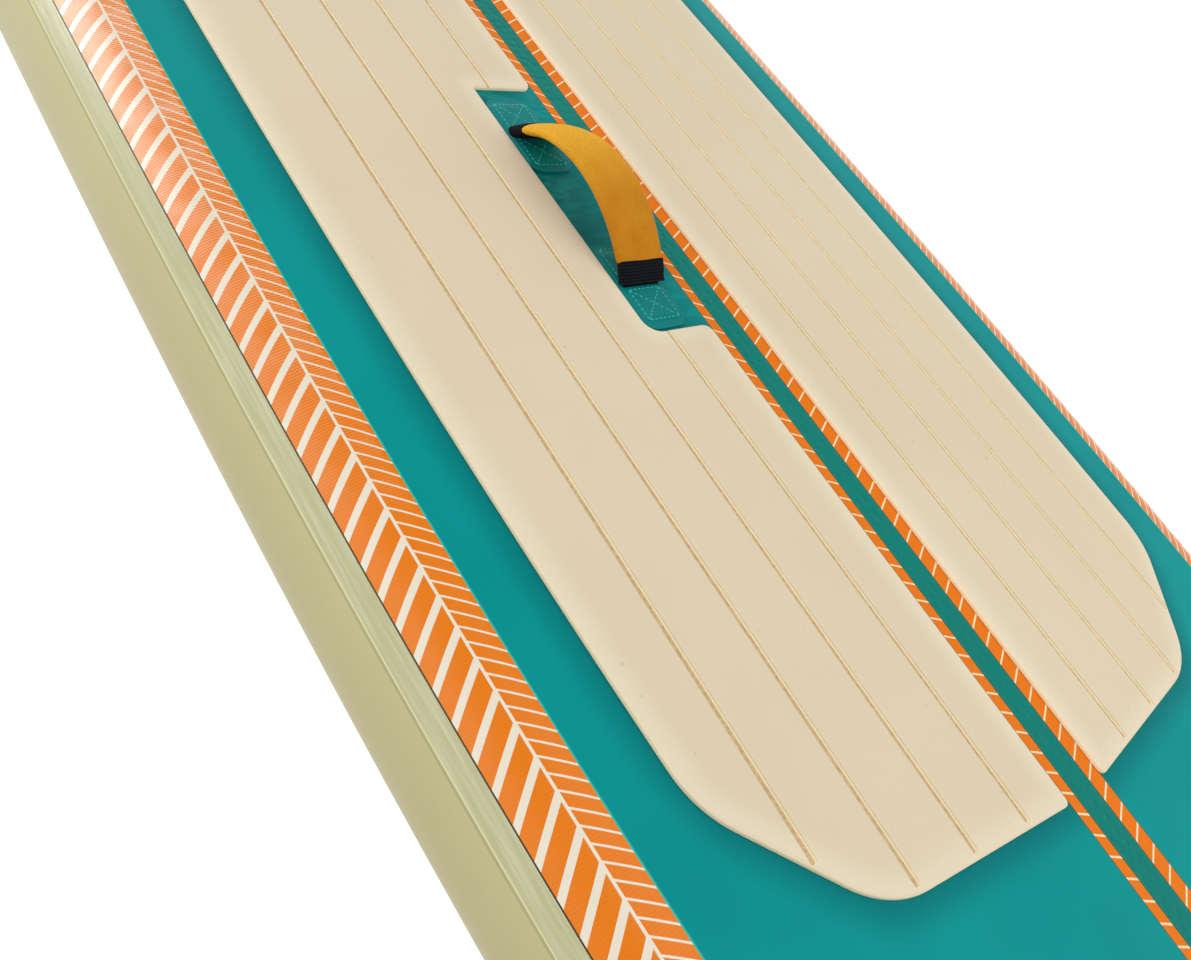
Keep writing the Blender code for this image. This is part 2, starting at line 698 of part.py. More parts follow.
def make_handle(looks):
    gap_angle = GAP / ARCH_RADIUS
    root_start = ARCH_ANGLE - ROOT_CLEARANCE / ARCH_RADIUS
    binding_start = ARCH_ANGLE - BINDING_CLEARANCE / ARCH_RADIUS
    sleeve_end = binding_start - BINDING_LENGTH / ARCH_RADIUS
    bore = (WEBBING_WIDTH + 2 * GAP, WEBBING_THICKNESS + 2 * GAP)
    sleeve = strap(
        "handle_sleeve",
        -sleeve_end,
        sleeve_end,
        sleeve_width,
        WEBBING_THICKNESS + 2 * SLEEVE_WALL,
        14,
        bore,
        True,
    )
    finish(sleeve, looks["sleeve"], radians(40))
    webbing = strap(
        "handle_webbing", -sleeve_end, sleeve_end, lambda angle: WEBBING_WIDTH, WEBBING_THICKNESS, 14
    )
    finish(webbing, looks["webbing"])
    base_z = DECK_Z + GAP
    foot_z = base_z + PATCH_LAYER + GAP
    cover_z = foot_z + FOOT_THICKNESS + GAP
    for end, sign in (("front", 1), ("rear", -1)):
        x = sign * HANDLE_HALF_SPAN
        finish(handle_patch("handle_base_patch_" + end, x, base_z), looks["deck"])
        cover = handle_patch("handle_cover_patch_" + end, x, cover_z)
        slot = block(
            "webbing_slot_" + end,
            (x - WEBBING_THICKNESS, HANDLE_Y - WEBBING_WIDTH / 2 - GAP, cover_z - GAP),
            (x + WEBBING_THICKNESS, HANDLE_Y + WEBBING_WIDTH / 2 + GAP, cover_z + PATCH_LAYER + GAP),
            cutters,
        )
        boolean(cover, "DIFFERENCE", slot)
        finish(cover, looks["deck"])
        foot = block(
            "handle_webbing_foot_" + end,
            (x - FOOT_LENGTH / 2, HANDLE_Y - WEBBING_WIDTH / 2, foot_z),
            (x + FOOT_LENGTH / 2, HANDLE_Y + WEBBING_WIDTH / 2, foot_z + FOOT_THICKNESS),
        )
        riser = block(
            "webbing_riser_" + end,
            (x - WEBBING_THICKNESS / 2, HANDLE_Y - WEBBING_WIDTH / 2, foot_z),
            (x + WEBBING_THICKNESS / 2, HANDLE_Y + WEBBING_WIDTH / 2, ROOT_Z),
            cutters,
        )
        boolean(foot, "UNION", riser)
        finish(foot, looks["webbing"])
        root = strap(
            "handle_webbing_root_" + end,
            sign * root_start,
            sign * (sleeve_end + gap_angle),
            lambda angle: WEBBING_WIDTH,
            WEBBING_THICKNESS,
            2,
        )
        finish(root, looks["webbing"])
        binding = strap(
            "handle_binding_" + end,
            sign * binding_start,
            sign * (sleeve_end + gap_angle),
            lambda angle: SLEEVE_END_WIDTH,
            WEBBING_THICKNESS + 2 * (GAP + BINDING_WALL),
            2,
            bore,
        )
        finish(binding, looks["webbing"])


# Inflation valve


def make_valve(looks):
    top = VALVE_FLANGE_THICKNESS + GAP
    laminate = OUTER_LAYER + GAP + SKIN_LAYER
    seat_top = -VALVE_DEPTH + VALVE_SEAT_THICKNESS
    housing = turned(
        "valve_housing",
        [
            (VALVE_BORE_RADIUS, top),
            (VALVE_FLANGE_RADIUS - GAP, top),
            (VALVE_FLANGE_RADIUS, top / 2),
            (VALVE_FLANGE_RADIUS, GAP),
            (VALVE_BARREL_RADIUS, GAP),
            (VALVE_BARREL_RADIUS, -VALVE_DEPTH),
            (VALVE_SEAT_RADIUS, -VALVE_DEPTH),
            (VALVE_SEAT_RADIUS, seat_top),
            (VALVE_BORE_RADIUS, seat_top),
        ],
    )
    hub_top = -VALVE_HUB_DEPTH
    hub_bottom = seat_top - VALVE_SEAT_THICKNESS / 2
    hub = turned(
        "valve_hub",
        [
            (STEM_RADIUS + GAP, hub_top),
            (VALVE_HUB_RADIUS, hub_top),
            (VALVE_HUB_RADIUS, hub_bottom),
            (STEM_RADIUS + GAP, hub_bottom),
        ],
        24,
        cutters,
    )
    boolean(housing, "UNION", hub)
    hub.location = (VALVE_X, 0, DECK_Z)
    for index in range(VALVE_ARM_COUNT):
        arm = block(
            f"valve_arm_{index + 1}",
            ((STEM_RADIUS + VALVE_HUB_RADIUS) / 2, -VALVE_ARM_WIDTH / 2, seat_top - VALVE_SEAT_THICKNESS / 4),
            ((VALVE_BARREL_RADIUS + VALVE_SEAT_RADIUS) / 2, VALVE_ARM_WIDTH / 2, hub_top - GAP),
            cutters,
        )
        arm.location = (VALVE_X, 0, DECK_Z)
        arm.rotation_euler = (0, 0, 2 * pi * index / VALVE_ARM_COUNT)
        boolean(housing, "UNION", arm)
    nut_top = -laminate - GAP
    nut = turned(
        "valve_back_nut",
        [
            (VALVE_BARREL_RADIUS + GAP, nut_top),
            (BACK_NUT_RADIUS, nut_top),
            (BACK_NUT_RADIUS, nut_top - BACK_NUT_HEIGHT),
            (VALVE_BARREL_RADIUS + GAP, nut_top - BACK_NUT_HEIGHT),
        ],
    )
    seal_top = -VALVE_DEPTH - GAP
    seal = turned(
        "valve_seal",
        [
            (STEM_RADIUS + GAP, seal_top),
            (SEAL_RADIUS, seal_top),
            (SEAL_RADIUS, seal_top - SEAL_THICKNESS),
            (STEM_RADIUS + GAP, seal_top - SEAL_THICKNESS),
        ],
    )
    head_top = -STEM_HEAD_DEPTH
    head_bottom = head_top - STEM_HEAD_HEIGHT
    collar_top = seal_top - SEAL_THICKNESS - GAP
    stem = turned(
        "valve_stem",
        [
            (0, head_top),
            (STEM_HEAD_RADIUS, head_top),
            (STEM_HEAD_RADIUS, head_bottom),
            (STEM_RADIUS, head_bottom),
            (STEM_RADIUS, collar_top),
            (2 * STEM_RADIUS, collar_top),
            (2 * STEM_RADIUS, collar_top - STEM_RADIUS),
            (0, collar_top - STEM_RADIUS),
        ],
        24,
    )
    spring_low = hub_top + SPRING_WIRE_RADIUS + GAP
    spring_high = head_bottom - SPRING_WIRE_RADIUS - GAP
    steps = SPRING_TURNS * 10
    coil = [
        (
            SPRING_RADIUS * cos(2 * pi * step / 10),
            SPRING_RADIUS * sin(2 * pi * step / 10),
            spring_low + (spring_high - spring_low) * step / steps,
        )
        for step in range(steps + 1)
    ]
    spring = tube("valve_spring", coil, SPRING_WIRE_RADIUS, 0)
    cap_low = top + GAP
    skirt_outer = VALVE_BORE_RADIUS - GAP
    cap = turned(
        "valve_cap",
        [
            (0, cap_low + CAP_THICKNESS),
            (CAP_RADIUS - CAP_THICKNESS / 2, cap_low + CAP_THICKNESS),
            (CAP_RADIUS, cap_low + CAP_THICKNESS / 2),
            (CAP_RADIUS, cap_low),
            (skirt_outer, cap_low),
            (skirt_outer, top - CAP_SKIRT_DEPTH),
            (skirt_outer - CAP_SKIRT_WALL, top - CAP_SKIRT_DEPTH),
            (skirt_outer - CAP_SKIRT_WALL, cap_low),
            (0, cap_low),
        ],
    )
    grip = block(
        "valve_cap_grip",
        (-CAP_RADIUS + CAP_THICKNESS, -CAP_GRIP_WIDTH / 2, cap_low + CAP_THICKNESS / 2),
        (CAP_RADIUS - CAP_THICKNESS, CAP_GRIP_WIDTH / 2, cap_low + CAP_THICKNESS + CAP_GRIP_HEIGHT),
        cutters,
    )
    grip.location = (VALVE_X, 0, DECK_Z)
    boolean(cap, "UNION", grip)
    for item, look in (
        (housing, "plastic"),
        (nut, "plastic"),
        (seal, "rubber"),
        (stem, "plastic"),
        (spring, "steel"),
        (cap, "plastic"),
    ):
        item.location = (VALVE_X, 0, DECK_Z)
        finish(item, looks[look])


# Fins


def blade(name, x, y, root_z, depth, chord, sweep, thickness, home=parts):
    """A raked foil that hangs from root_z, its root chord centred on x."""
    built = bmesh.new()
    stations_along = [(0.0, 0.30), (0.10, 0.80), (0.35, 1.0), (0.70, 0.60), (1.0, 0.16)]
    rings = []
    levels = 8
    for level in range(levels + 1):
        share = 0.985 * level / levels
        here = chord * sqrt(1 - share**2.4) * (1 - 0.25 * share)
        middle = x - sweep * share**1.5
        thick = thickness * (here / chord) ** 0.7
        ring = []
        for along, fat in stations_along:
            ring.append((middle + here / 2 - along * here, y + fat * thick / 2))
        for along, fat in reversed(stations_along):
            ring.append((middle + here / 2 - along * here, y - fat * thick / 2))
        rings.append([built.verts.new((px, py, root_z - depth * share)) for px, py in ring])
    for ring, following in zip(rings, rings[1:]):
        for k in range(len(ring)):
            built.faces.new((ring[k], ring[k - 1], following[k - 1], following[k]))
    built.faces.new(rings[0])
    built.faces.new(rings[-1])
    bmesh.ops.recalc_face_normals(built, faces=built.faces)
    return new_object(name, mesh_of(built, name), home)


def make_centre_fin(looks):
    x = FIN_BOX_X
    patch_z = -GAP
    patch_half_length = FIN_FLANGE_LENGTH / 2 + FIN_PATCH_MARGIN
    patch_half_width = FIN_FLANGE_WIDTH / 2 + FIN_PATCH_MARGIN
    patch = block(
        "fin_box_patch",
        (x - patch_half_length, -patch_half_width, patch_z - PATCH_LAYER),
        (x + patch_half_length, patch_half_width, patch_z),
    )
    finish(patch, looks["hull"])
    top = patch_z - PATCH_LAYER - GAP
    mouth = top - FIN_BOX_HEIGHT
    box = block(
        "fin_box",
        (x - FIN_BOX_LENGTH / 2, -FIN_BOX_WIDTH / 2, mouth),
        (x + FIN_BOX_LENGTH / 2, FIN_BOX_WIDTH / 2, top),
    )
    flange = block(
        "fin_flange",
        (x - FIN_FLANGE_LENGTH / 2, -FIN_FLANGE_WIDTH / 2, top - FIN_FLANGE_THICKNESS),
        (x + FIN_FLANGE_LENGTH / 2, FIN_FLANGE_WIDTH / 2, top),
        cutters,
    )
    slot = block(
        "fin_slot",
        (x - SLOT_LENGTH / 2, -SLOT_WIDTH / 2, mouth - SLOT_DEPTH),
        (x + SLOT_LENGTH / 2, SLOT_WIDTH / 2, mouth + SLOT_DEPTH),
        cutters,
    )
    groove_low = mouth + GROOVE_IN_SLOT_START
    groove_high = groove_low + GROOVE_IN_SLOT_HEIGHT
    groove = block(
        "fin_slot_groove",
        (x - SLOT_LENGTH / 2, -GROOVE_IN_SLOT_WIDTH / 2, groove_low),
        (x + SLOT_LENGTH / 2, GROOVE_IN_SLOT_WIDTH / 2, groove_high),
        cutters,
    )
    boolean(box, "UNION", flange)
    boolean(box, "DIFFERENCE", slot)
    boolean(box, "DIFFERENCE", groove)
    finish(box, looks["plastic"])

    root_z = mouth - 2 * GAP
    tab_half = SLOT_WIDTH / 2 - FIN_SIDE_CLEARANCE
    tab_front = x + TAB_LENGTH / 2 - TONGUE_LENGTH
    tab_top = groove_high + GAP
    fin_x = tab_front - FIN_CHORD / 2
    fin = blade("centre_fin", fin_x, 0, root_z, FIN_DEPTH, FIN_CHORD, FIN_SWEEP, FIN_THICKNESS)
    tab = block(
        "fin_tab",
        (x - TAB_LENGTH / 2, -tab_half, root_z - TONGUE_START),
        (tab_front, tab_half, tab_top),
        cutters,
    )
    tongue_low, tongue_high = mouth + TONGUE_START, groove_low
    tongue = block(
        "fin_tongue",
        (tab_front - TONGUE_LENGTH / 2, -tab_half, tongue_low),
        (x + TAB_LENGTH / 2, tab_half, tongue_high),
        cutters,
    )
    boolean(fin, "UNION", tab)
    boolean(fin, "UNION", tongue)
    groove_middle = (groove_low + groove_high) / 2
    pin_x = x - TAB_LENGTH / 2 + CROSS_PIN_INSET
    pin_half = GROOVE_IN_SLOT_WIDTH / 2 - GAP
    pin_hole = rod(
        "fin_pin_hole",
        (pin_x, -SLOT_WIDTH, groove_middle),
        (pin_x, SLOT_WIDTH, groove_middle),
        CROSS_PIN_RADIUS + GAP,
        16,
        cutters,
    )
    boolean(fin, "DIFFERENCE", pin_hole)
    pin = rod(
        "fin_cross_pin",
        (pin_x, -pin_half, groove_middle),
        (pin_x, pin_half, groove_middle),
        CROSS_PIN_RADIUS,
        16,
    )
    finish(pin, looks["steel"])
    screw_x = x + TAB_LENGTH / 2 - TONGUE_LENGTH / 2
    screw_hole = rod(
        "fin_screw_hole",
        (screw_x, 0, tongue_low - GAP),
        (screw_x, 0, tongue_high + GAP),
        FIN_SCREW_RADIUS + GAP,
        20,
        cutters,
    )
    boolean(fin, "DIFFERENCE", screw_hole)
    finish(fin, looks["fin"])
    plate_low, plate_high = groove_low + GAP, groove_high - GAP
    plate = block(
        "fin_nut_plate",
        (screw_x - NUT_PLATE_LENGTH / 2, -GROOVE_IN_SLOT_WIDTH / 2 + GAP, plate_low),
        (screw_x + NUT_PLATE_LENGTH / 2, GROOVE_IN_SLOT_WIDTH / 2 - GAP, plate_high),
    )
    plate_hole = rod(
        "fin_plate_hole",
        (screw_x, 0, plate_low - GAP),
        (screw_x, 0, plate_high + GAP),
        FIN_SCREW_RADIUS + NUT_PLATE_HOLE_CLEARANCE,
        20,
        cutters,
    )
    boolean(plate, "DIFFERENCE", plate_hole)
    finish(plate, looks["steel"])
    head_top = tongue_low - GAP
    screw = turned(
        "fin_screw",
        [
            (0, plate_high + GAP),
            (FIN_SCREW_RADIUS, plate_high + GAP),
            (FIN_SCREW_RADIUS, head_top),
            (FIN_SCREW_HEAD_RADIUS, head_top),
            (FIN_SCREW_HEAD_RADIUS, head_top - FIN_SCREW_HEAD_HEIGHT),
            (0, head_top - FIN_SCREW_HEAD_HEIGHT),
        ],
        20,
    )
    screw.location = (screw_x, 0, 0)
    finish(screw, looks["steel"])


def make_side_fins(looks):
    for name, side in (("side_fin_port", 1), ("side_fin_starboard", -1)):
        y = side * SIDE_FIN_Y
        top = -GAP
        half_length, half_width = SIDE_FIN_BASE_LENGTH / 2, SIDE_FIN_BASE_WIDTH / 2
        outline = rounded(
            [
                (SIDE_FIN_X + half_length, y - half_width, half_width * 0.8),
                (SIDE_FIN_X + half_length, y + half_width, half_width * 0.8),
                (SIDE_FIN_X - half_length, y + half_width, half_width * 0.8),
                (SIDE_FIN_X - half_length, y - half_width, half_width * 0.8),
            ],
            4,
        )
        base = flat_shape(name, [outline], SIDE_FIN_BASE_THICKNESS)
        base.location = (0, 0, top - SIDE_FIN_BASE_THICKNESS)
        fin = blade(
            name + "_blade",
            SIDE_FIN_X,
            y,
            top - SIDE_FIN_BASE_THICKNESS / 2,
            SIDE_FIN_DEPTH,
            SIDE_FIN_CHORD,
            SIDE_FIN_SWEEP,
            SIDE_FIN_THICKNESS,
            cutters,
        )
        boolean(base, "UNION", fin)
        finish(base, looks["fin"])


# Rings


def ring_set(name, place, looks):
    """A patch, a sewn loop and a ring. In the local frame the ring lies along +Y and its bar along X."""
    bar_height = GAP + LOOP_LAYER + GAP + RING_WIRE_RADIUS
    loop_radius = RING_WIRE_RADIUS + GAP + LOOP_LAYER
    patch = rod(name + "_patch", (0, 0, 0), (0, 0, RING_PATCH_LAYER), RING_PATCH_RADIUS, 32)
    patch.matrix_world = place @ Matrix.Translation((0, 0, GAP))
    finish(patch, looks["hull"])
    on_patch = place @ Matrix.Translation((0, -LOOP_SET_BACK, GAP + RING_PATCH_LAYER))

    foot_top = GAP + 2 * LOOP_LAYER
    meet = asin((foot_top - bar_height) / loop_radius)
    outline = [(-LOOP_FOOT, GAP)]
    steps = 12
    first, last = -pi / 2, pi - meet
    for step in range(steps + 1):
        angle = first + (last - first) * step / steps
        outline.append((loop_radius * cos(angle), bar_height + loop_radius * sin(angle)))
    outline.append((-LOOP_FOOT, foot_top))
    eye_radius = RING_WIRE_RADIUS + GAP
    eye = [
        (eye_radius * cos(2 * pi * step / 12), bar_height + eye_radius * sin(2 * pi * step / 12))
        for step in range(12)
    ]
    loop = flat_shape(name + "_loop", [outline, eye], LOOP_WIDTH)
    stand_up = Matrix(((0, 0, 1, -LOOP_WIDTH / 2), (1, 0, 0, 0), (0, 1, 0, 0), (0, 0, 0, 1)))
    loop.matrix_world = on_patch @ stand_up
    finish(loop, looks["webbing"])

    bow = [(-RING_BAR_HALF, 0, 0), (0, 0, 0), (RING_BAR_HALF, 0, 0)]
    steps = 8
    for step in range(steps + 1):
        angle = pi * step / steps
        bow.append((RING_BAR_HALF * cos(angle), RING_SIDE + RING_BAR_HALF * sin(angle), 0))
    ring = tube(name, bow, RING_WIRE_RADIUS, 1, True)
    reach = RING_SIDE + RING_BAR_HALF
    droop = asin((bar_height - RING_WIRE_RADIUS - GAP) / reach)
    ring.matrix_world = on_patch @ Matrix.Translation((0, 0, bar_height)) @ Matrix.Rotation(-droop, 4, "X")
    finish(ring, looks["steel"])


def on_deck(x, y, heading):
    """The frame of a fitting on the deck: local Y points along the heading, Z up from the deck."""
    middle, lift, slope = deck_plane(x)
    tilt = Matrix.Rotation(-slope, 4, "Y")
    turn = Matrix.Rotation(heading, 4, "Z")
    return Matrix.Translation((middle, y, DECK_Z + lift)) @ tilt @ turn


def make_rings(looks):
    for end, x in (("front", CARGO_RING_FRONT_X), ("rear", CARGO_RING_REAR_X)):
        for side_name, side in (("port", 1), ("starboard", -1)):
            y = side * (flat_half_width(x) - CARGO_RING_INSET)
            heading = 0 if side > 0 else pi
            ring_set(f"cargo_ring_{end}_{side_name}", on_deck(x, y, heading), looks)
    ring_set("leash_ring", on_deck(LEASH_RING_X, 0, pi / 2), looks)


def main():
    clear_scene()
    looks = {
        "deck": material("teal_pvc", (0.0, 0.26, 0.26), 0.45),
        "hull": material("cream_pvc", (0.60, 0.55, 0.40), 0.5),
        "rail": material("pale_rail_pvc", (0.54, 0.50, 0.28), 0.35),
        "fabric": material("woven_skin", (0.75, 0.74, 0.70), 0.8),
        "yarn": material("polyester_yarn", (0.85, 0.85, 0.83), 0.9),
        "pad": material("cream_eva", (0.72, 0.62, 0.46), 0.85),
        "sleeve": material("yellow_neoprene", (0.75, 0.40, 0.03), 0.75),
        "webbing": material("black_webbing", (0.01, 0.01, 0.012), 0.8),
        "plastic": material("black_nylon", (0.02, 0.02, 0.022), 0.4),
        "rubber": material("grey_rubber", (0.1, 0.1, 0.1), 0.7),
        "steel": material("stainless_steel", (0.6, 0.6, 0.6), 0.25, 1.0),
        "fin": material("black_fin_plastic", (0.015, 0.015, 0.017), 0.3),
    }
    make_hull(looks)
    make_yarns(looks)
    make_pads(looks)
    make_handle(looks)
    make_valve(looks)
    make_centre_fin(looks)
    make_side_fins(looks)
    make_rings(looks)


main()
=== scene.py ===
from functools import partial
from math import asin, cos, pi, radians, sin, sqrt

import bpy
from mathutils import Matrix, Vector


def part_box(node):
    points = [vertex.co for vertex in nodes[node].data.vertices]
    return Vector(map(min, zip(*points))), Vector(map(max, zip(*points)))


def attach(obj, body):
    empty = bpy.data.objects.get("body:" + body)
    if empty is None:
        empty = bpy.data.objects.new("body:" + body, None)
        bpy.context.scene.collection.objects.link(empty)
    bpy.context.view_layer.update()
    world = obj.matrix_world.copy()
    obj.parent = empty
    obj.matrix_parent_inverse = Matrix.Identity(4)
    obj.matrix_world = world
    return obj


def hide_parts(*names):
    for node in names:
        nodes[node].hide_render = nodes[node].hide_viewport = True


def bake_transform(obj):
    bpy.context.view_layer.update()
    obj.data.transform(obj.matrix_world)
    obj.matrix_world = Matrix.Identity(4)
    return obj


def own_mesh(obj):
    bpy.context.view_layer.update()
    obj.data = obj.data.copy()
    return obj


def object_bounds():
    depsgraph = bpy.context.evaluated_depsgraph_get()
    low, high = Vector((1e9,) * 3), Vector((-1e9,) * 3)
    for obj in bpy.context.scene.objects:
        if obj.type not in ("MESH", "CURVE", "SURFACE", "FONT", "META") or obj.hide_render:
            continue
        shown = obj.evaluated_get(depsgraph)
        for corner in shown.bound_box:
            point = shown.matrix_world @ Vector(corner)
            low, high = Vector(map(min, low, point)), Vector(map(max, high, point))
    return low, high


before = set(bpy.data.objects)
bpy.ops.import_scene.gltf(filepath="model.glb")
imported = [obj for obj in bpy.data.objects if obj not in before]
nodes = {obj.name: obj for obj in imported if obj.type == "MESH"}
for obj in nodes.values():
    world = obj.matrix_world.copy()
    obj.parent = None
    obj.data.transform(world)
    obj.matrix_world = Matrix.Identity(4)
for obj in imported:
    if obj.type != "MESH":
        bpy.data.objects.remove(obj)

cadLow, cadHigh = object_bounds()
finest = 0.000002  # metres; points nearer than this are one

# camera, with the photograph's angle and frame

cameraView = {
    "place": (0.4798, -0.6380, 0.5914),  # metres, above the starboard rail and looking aft
    "right": (0.51212336, 0.74925603, 0.41993460),
    "upward": (-0.78438449, 0.20877279, 0.58408466),
    "backward": (0.34995803, -0.62851359, 0.69462223),
    "lens": 31.023,  # millimetres on a 36 mm sensor
}


def makeCamera():
    camera = newPiece("viewCamera", bpy.ops.object.camera_add)
    camera.data.lens = cameraView["lens"]
    camera.data.sensor_width = 36
    camera.data.clip_start = 0.01
    camera.data.clip_end = 100
    turn = Matrix((cameraView["right"], cameraView["upward"], cameraView["backward"])).transposed()
    camera.matrix_world = Matrix.Translation(cameraView["place"]) @ turn.to_4x4()
    bpy.context.scene.camera = camera


# small helpers for numbers


def clamp(value):
    return min(max(value, 0), 1)


def easeInOut(share):
    return share * share * (3 - 2 * share)


# helpers for making, editing and shading pieces


def clearSelection():
    if bpy.context.object and bpy.context.object.mode != "OBJECT":
        bpy.ops.object.mode_set(mode="OBJECT")
    bpy.ops.object.select_all(action="DESELECT")


def makeActive(piece):
    clearSelection()
    piece.select_set(True)
    bpy.context.view_layer.objects.active = piece


def newPiece(name, operator, **settings):
    # runs an operator that adds an object, and names the object and its data
    clearSelection()
    operator(**settings)
    piece = bpy.context.object
    piece.name = name
    piece.data.name = name
    return piece


def applyModifier(piece, kind, **settings):
    makeActive(piece)
    modifier = piece.modifiers.new(kind.lower(), kind)
    for name, value in settings.items():
        setattr(modifier, name, value)
    bpy.ops.object.modifier_apply(modifier=modifier.name)


def cutAway(piece, cutter, operation="DIFFERENCE"):
    applyModifier(piece, "BOOLEAN", operation=operation, object=cutter)
    bpy.data.objects.remove(cutter, do_unlink=True)


def editAll(piece, *steps):
    # runs edit-mode operators on the whole mesh
    makeActive(piece)
    bpy.ops.object.mode_set(mode="EDIT")
    bpy.ops.mesh.select_all(action="SELECT")
    for operator, settings in steps:
        operator(**settings)
    bpy.ops.object.mode_set(mode="OBJECT")


faceOut = (bpy.ops.mesh.normals_make_consistent, {"inside": False})
turnOver = (bpy.ops.mesh.flip_normals, {})


def merge(distance):
    return (bpy.ops.mesh.remove_doubles, {"threshold": distance})


def shadeSmooth(piece, angle):
    makeActive(piece)
    bpy.ops.object.shade_smooth_by_angle(angle=radians(angle))


def bevelSharp(piece, width, segments=2, angle=30):
    limit = {"limit_method": "ANGLE", "angle_limit": radians(angle)}
    applyModifier(piece, "BEVEL", width=width, segments=segments, **limit)


def dress(piece, look, body, slot, *replaced, smooth=40):
    # one material, smooth shading, the body it rides on and the CAD nodes it stands for; slot is not used
    piece.data.materials.clear()
    piece.data.materials.append(look)
    shadeSmooth(piece, smooth)
    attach(piece, body)
    if replaced:
        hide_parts(*replaced)


def wear(node, look):
    # a CAD node keeps its shape and gets a new material
    for slot in nodes[node].material_slots:
        slot.material = look


def loftGrid(name, countU, countV, place, surface=None):
    # a grid primitive whose corner (i, j) goes to place(i, j) and has the map point surface(i, j)
    grid = bpy.ops.mesh.primitive_grid_add
    piece = newPiece(name, grid, x_subdivisions=countU, y_subdivisions=countV, size=1)
    mesh = piece.data
    steps = [(round((v.co.x + 0.5) * countU), round((v.co.y + 0.5) * countV)) for v in mesh.vertices]
    for vertex, step in zip(mesh.vertices, steps):
        vertex.co = place(*step)
    if surface:
        for loop in mesh.loops:
            mesh.uv_layers.active.data[loop.index].uv = surface(*steps[loop.vertex_index])
    return piece


def closedLoft(name, count, around, place, surface=None):
    # a tube-like loft with its ends filled; place(i, j) repeats at j = around
    piece = loftGrid(name, count, around, place, surface)
    editAll(piece, merge(finest), (bpy.ops.mesh.fill_holes, {"sides": 0}), faceOut)
    return piece


def joinPieces(name, pieces):
    makeActive(pieces[0])
    for piece in pieces[1:]:
        piece.select_set(True)
    bpy.ops.object.join()
    joined = bpy.context.object
    joined.name = name
    joined.data.name = name
    return joined


def boxBlock(name, low, high):
    middle = [(a + b) / 2 for a, b in zip(low, high)]
    size = [b - a for a, b in zip(low, high)]
    block = newPiece(name, bpy.ops.mesh.primitive_cube_add, size=1, location=middle, scale=size)
    bpy.ops.object.transform_apply(location=True, rotation=True, scale=True)
    return block


def roundPost(name, centre, radius, depth, sides, turn=(0, 0, 0)):
    post = newPiece(name, bpy.ops.mesh.primitive_cylinder_add, vertices=sides, radius=radius, depth=depth,
                    location=centre, rotation=turn)
    bpy.ops.object.transform_apply(location=True, rotation=True, scale=True)
    return post


def roundedOutline(corners, segments=10):
    # a closed outline whose (x, y, radius) corners are rounded
    outline = []
    for index, (x, y, radius) in enumerate(corners):
        here = Vector((x, y))
        before = (Vector(corners[index - 1][:2]) - here).normalized()
        after = (Vector(corners[(index + 1) % len(corners)][:2]) - here).normalized()
        half = before.angle(after) / 2
        if radius <= 0 or half > pi / 2 - 0.02:
            outline.append((x, y))
            continue
        middle = here + (before + after).normalized() * (radius / sin(half))
        reach = radius * cos(half) / sin(half)
        start, end = here + before * reach - middle, here + after * reach - middle
        sweep = start.angle_signed(end)
        for step in range(segments + 1):
            turn = -sweep * step / segments
            outline.append((middle.x + start.x * cos(turn) - start.y * sin(turn),
                            middle.y + start.x * sin(turn) + start.y * cos(turn)))
    return outline


def roundedBox(x, y, length, width, corner, segments):
    signs = ((1, -1), (1, 1), (-1, 1), (-1, -1))
    return roundedOutline([(x + a * length / 2, y + b * width / 2, corner) for a, b in signs], segments)


def filledOutline(name, outline, z):
    # a filled circle drawn out to the outline, facing up
    circle = bpy.ops.mesh.primitive_circle_add
    plate = newPiece(name, circle, vertices=len(outline), radius=1, fill_type="NGON")
    for vertex, (x, y) in zip(plate.data.vertices, outline):
        vertex.co = (x, y, z)
    plate.data.update()
    if plate.data.polygons[0].normal.z < 0:
        editAll(plate, turnOver)
    return plate


def extrudeUp(piece, height):
    editAll(piece, (bpy.ops.mesh.extrude_region_move, {"TRANSFORM_OT_translate": {"value": (0, 0, height)}}))
    editAll(piece, faceOut)


def plateFromOutline(name, outline, bottomZ, thickness, edgeRound, segments, upper=True):
    # a flat plate extruded from its outline, with its upper or lower edge rounded
    plate = filledOutline(name, outline, bottomZ)
    extrudeUp(plate, thickness)
    edgeZ = bottomZ + thickness if upper else bottomZ
    mesh = plate.data
    weights = mesh.attributes.new("bevel_weight_edge", "FLOAT", "EDGE")
    for edge in mesh.edges:
        atEdge = all(abs(mesh.vertices[k].co.z - edgeZ) < finest / 2 for k in edge.vertices)
        weights.data[edge.index].value = 1.0 if atEdge else 0.0
    applyModifier(plate, "BEVEL", width=edgeRound, segments=segments, limit_method="WEIGHT")
    return plate


def linkedObject(name, mesh):
    piece = bpy.data.objects.new(name, mesh)
    bpy.context.scene.collection.objects.link(piece)
    return piece


def looseCopy(name, node):
    # a merged copy of a CAD node, for bevelling
    piece = linkedObject(name, nodes[node].data.copy())
    piece.data.name = name
    editAll(piece, merge(0.000005), (bpy.ops.mesh.dissolve_limited, {"angle_limit": radians(0.5)}))
    return piece


# material helpers


def hexColour(code):
    channels = [int(code[k : k + 2], 16) / 255 for k in (0, 2, 4)]
    linear = [c / 12.92 if c <= 0.04045 else ((c + 0.055) / 1.055) ** 2.4 for c in channels]
    return (*linear, 1.0)


def feed(tree, socket, value):
    # links a socket to an output, or sets its value; text is a hex colour
    if isinstance(value, bpy.types.NodeSocket):
        tree.links.new(value, socket)
    else:
        socket.default_value = hexColour(value) if isinstance(value, str) else value


nodeChoice = {
    "Math": "operation",
    "Mix": "data_type",
    "MapRange": "interpolation_type",
    "TexVoronoi": "feature",
    "TexWave": "bands_direction",
}


